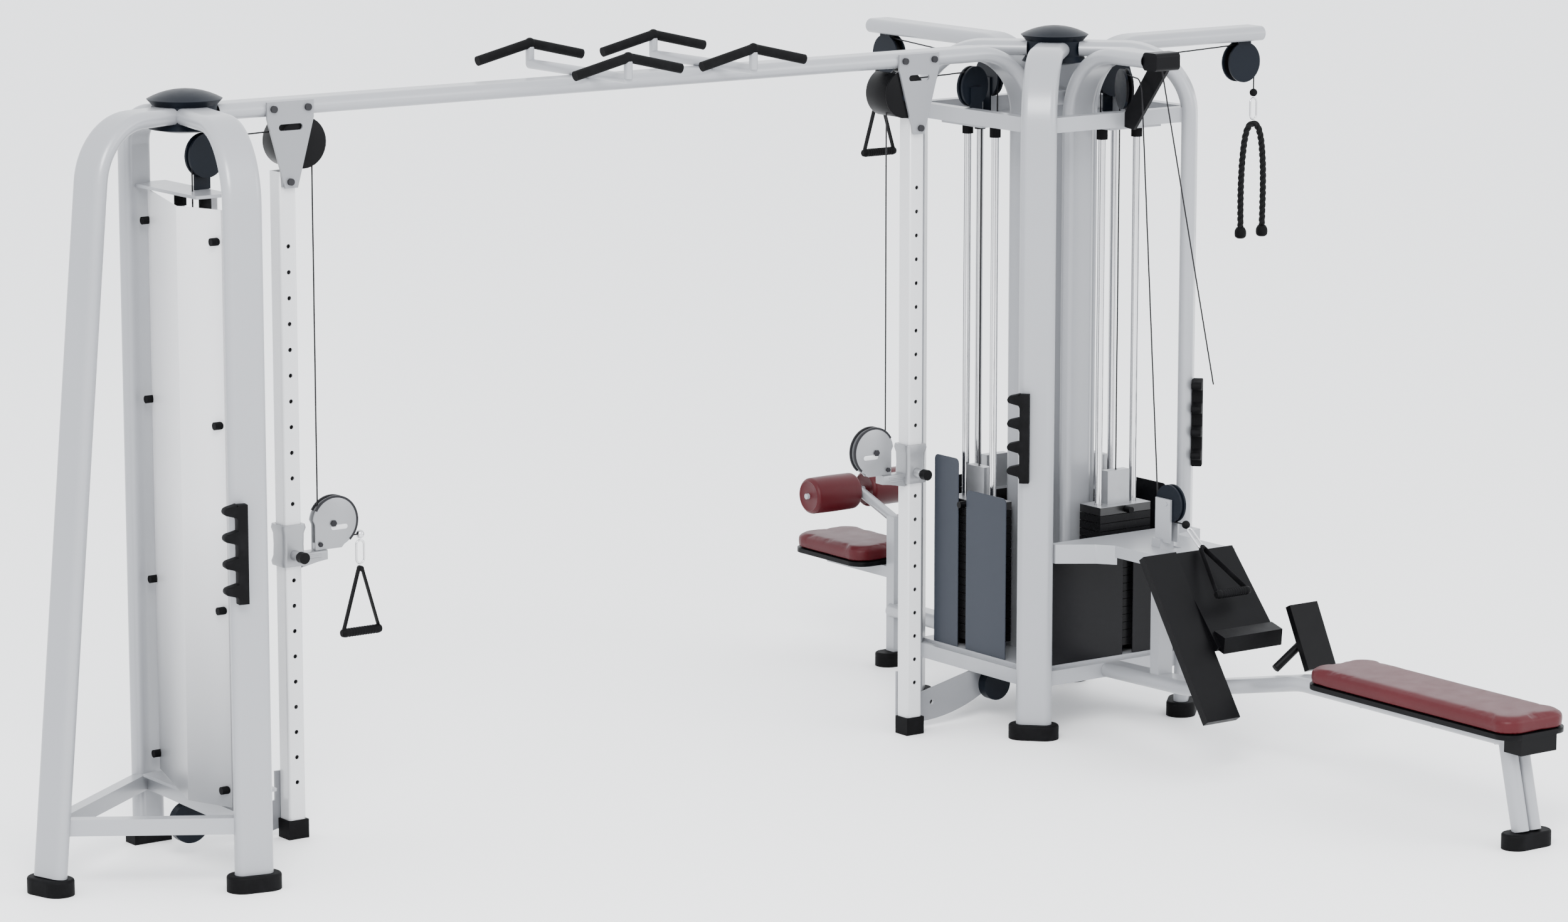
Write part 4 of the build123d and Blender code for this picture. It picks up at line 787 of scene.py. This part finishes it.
def snap_link(name, node, apex, down, length):
    """A closed loop of bent wire between a ball stop and a handle's head."""
    straight = length / 2 - LINK_END
    centre = apex - down * (length / 2)
    bends = arc(0, straight, LINK_HALF_W, 0, 180, 10) + arc(0, -straight, LINK_HALF_W, 180, 360, 10)
    line = [centre + ALONG * px + down * pz for px, pz in bends]
    bm = bmesh.new()
    tube_along(bm, line + line[:1], WIRE_R, 10)
    piece = link_object(name, bm, chrome, 60)
    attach(piece, node)
    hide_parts(node)


CAD_GRIP_R = 0.015
ROW_DROOP = math.radians(38)
row_down = Vector((0, -math.cos(ROW_DROOP), -math.sin(ROW_DROOP)))
for name, down, length in (("lat", DOWN, 0.070), ("row", row_down, 0.090)):
    low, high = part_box(f"{name}_handle")
    grip_y = low.y + CAD_GRIP_R if name == "row" else (low.y + high.y) / 2
    grip_at = Vector(((low.x + high.x) / 2, grip_y, low.z + CAD_GRIP_R))
    apex = grip_at - down * HANDLE_DROP
    stirrup(f"{name}_grip_handle", f"{name}_handle", apex, down)
    snap_link(f"{name}_snap_link", f"{name}_handle", apex, down, length)


# ---- Cable round the tower's pulley -------------------------------------------------------
# Black nylon-coated steel, from over the pulley's pivot, round under it and out to the ball
# stop. It turns with the pulley's cheeks.
CABLE_R = 0.0025
WRAP_R = 0.048
WRAP_TOP = 0.050
BALL_BACK = 0.010                # the cable stops this far short of the ball's middle
wheel_low, wheel_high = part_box("tower_wheel")
axle = (wheel_low + wheel_high) / 2
round_wheel = [Vector((axle.x + px, axle.y, axle.z + pz)) for px, pz in arc(0, 0, WRAP_R, 180, 270, 14)]
wrap = [Vector((axle.x - WRAP_R, axle.y, axle.z + WRAP_TOP)), *round_wheel,
        Vector((tower_apex.x - BALL_BACK, axle.y, axle.z - WRAP_R))]
wrap_bm = bmesh.new()
tube_along(wrap_bm, wrap, CABLE_R, 12)
nylon = moulded("cable_nylon", (0.012, 0.012, 0.013), 0.3, 2000.0, 0.1)
dress(nylon, "cables")
wrapped = link_object("crossover_cable_wrap", wrap_bm, nylon)
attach(wrapped, "tower_swivel")


# ---- Column covers ------------------------------------------------------------------------
# A curved black hood shields the pulley behind each triangular bracket: a round back plate
# with a deep lip, seen on both sides of the bracket.
HOOD_R = 0.080
HOOD_T = 0.005
HOOD_DEPTH = 0.108
HOOD_DROP = 0.185                # the hoods' middle under the top of the hub caps
HOOD_BACK = 0.098                # and behind the carriages' axles
HOOD_FRONT_Y, LIP_FRONT_Y = core.y - 0.0585, core.y - 0.054
hood_bm = bmesh.new()
hood_z = top_z - HOOD_DROP
for which, side in (("tower", 1), ("core", -1)):
    wheel_low, wheel_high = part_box(f"{which}_wheel")
    centre_x = (wheel_low.x + wheel_high.x) / 2 - side * HOOD_BACK
    plate(hood_bm, arc(centre_x, hood_z, HOOD_R, 0, 350, 35), HOOD_FRONT_Y, HOOD_T, 0.0015)
    for start, end in ((-68, 62), (118, 248)):
        lip = arc(centre_x, hood_z, HOOD_R, start, end, 24)
        lip += arc(centre_x, hood_z, HOOD_R - HOOD_T, end, start, 24)
        plate(hood_bm, lip, LIP_FRONT_Y, HOOD_DEPTH, 0.001)
hoods = link_object("column_pulley_hoods", hood_bm, black_plastic)
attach(hoods, "frame")


# ---- Room, light and camera ---------------------------------------------------------------
# A pale floor that meets a pale sky, one large soft key light from the left and a fill from
# the right. The camera stands 18 m off the core's near corner, 4 m up.
FLOOR_HALF = 30.0
SKY, SKY_STRENGTH = (0.95, 0.97, 1.0, 1), 2.6
KEY_POWER, FILL_POWER = 1300, 350
floor_bm = bmesh.new()
bmesh.ops.create_grid(floor_bm, x_segments=1, y_segments=1, size=FLOOR_HALF)
studio = Finish("studio_floor")
studio.feed("Base Color", (0.95, 0.95, 0.95))
studio.feed("Roughness", studio.noise(1.5) * 0.1 + 0.55)
floor = link_object("studio_floor_plane", floor_bm, studio)

world = bpy.data.worlds.new("studio_sky")
world.use_nodes = True
world.node_tree.nodes["Background"].inputs[0].default_value = SKY
world.node_tree.nodes["Background"].inputs[1].default_value = SKY_STRENGTH
bpy.context.scene.world = world


def area_light(name, place, target, size, power):
    """A round soft light that faces its target."""
    data = bpy.data.lights.new(name, "AREA")
    data.shape, data.size, data.energy = "DISK", size, power
    lamp = bpy.data.objects.new(name, data)
    lamp.location = place
    lamp.rotation_mode = "QUATERNION"
    lamp.rotation_quaternion = (Vector(target) - Vector(place)).to_track_quat("-Z", "Y")
    bpy.context.scene.collection.objects.link(lamp)


middle = (core + tower) / 2 + Vector((0, 0, 1.1))
area_light("key", core + Vector((-7.0, -7.0, 7.5)), middle, 5.0, KEY_POWER)
area_light("fill", core + Vector((5.0, -9.0, 5.0)), middle, 6.0, FILL_POWER)

CAMERA_FROM_CORE = Vector((-11.127, -13.816, 4.073))
CAMERA_YAW, CAMERA_PITCH = 0.6265, 0.1791
lens = bpy.data.cameras.new("camera")
lens.sensor_width, lens.lens = 36.0, 120.7
lens.clip_end = 200
camera = bpy.data.objects.new("camera", lens)
camera.location = core + CAMERA_FROM_CORE
camera.rotation_euler = (math.pi / 2 - CAMERA_PITCH, 0, -CAMERA_YAW)
bpy.context.scene.collection.objects.link(camera)
bpy.context.scene.camera = camera
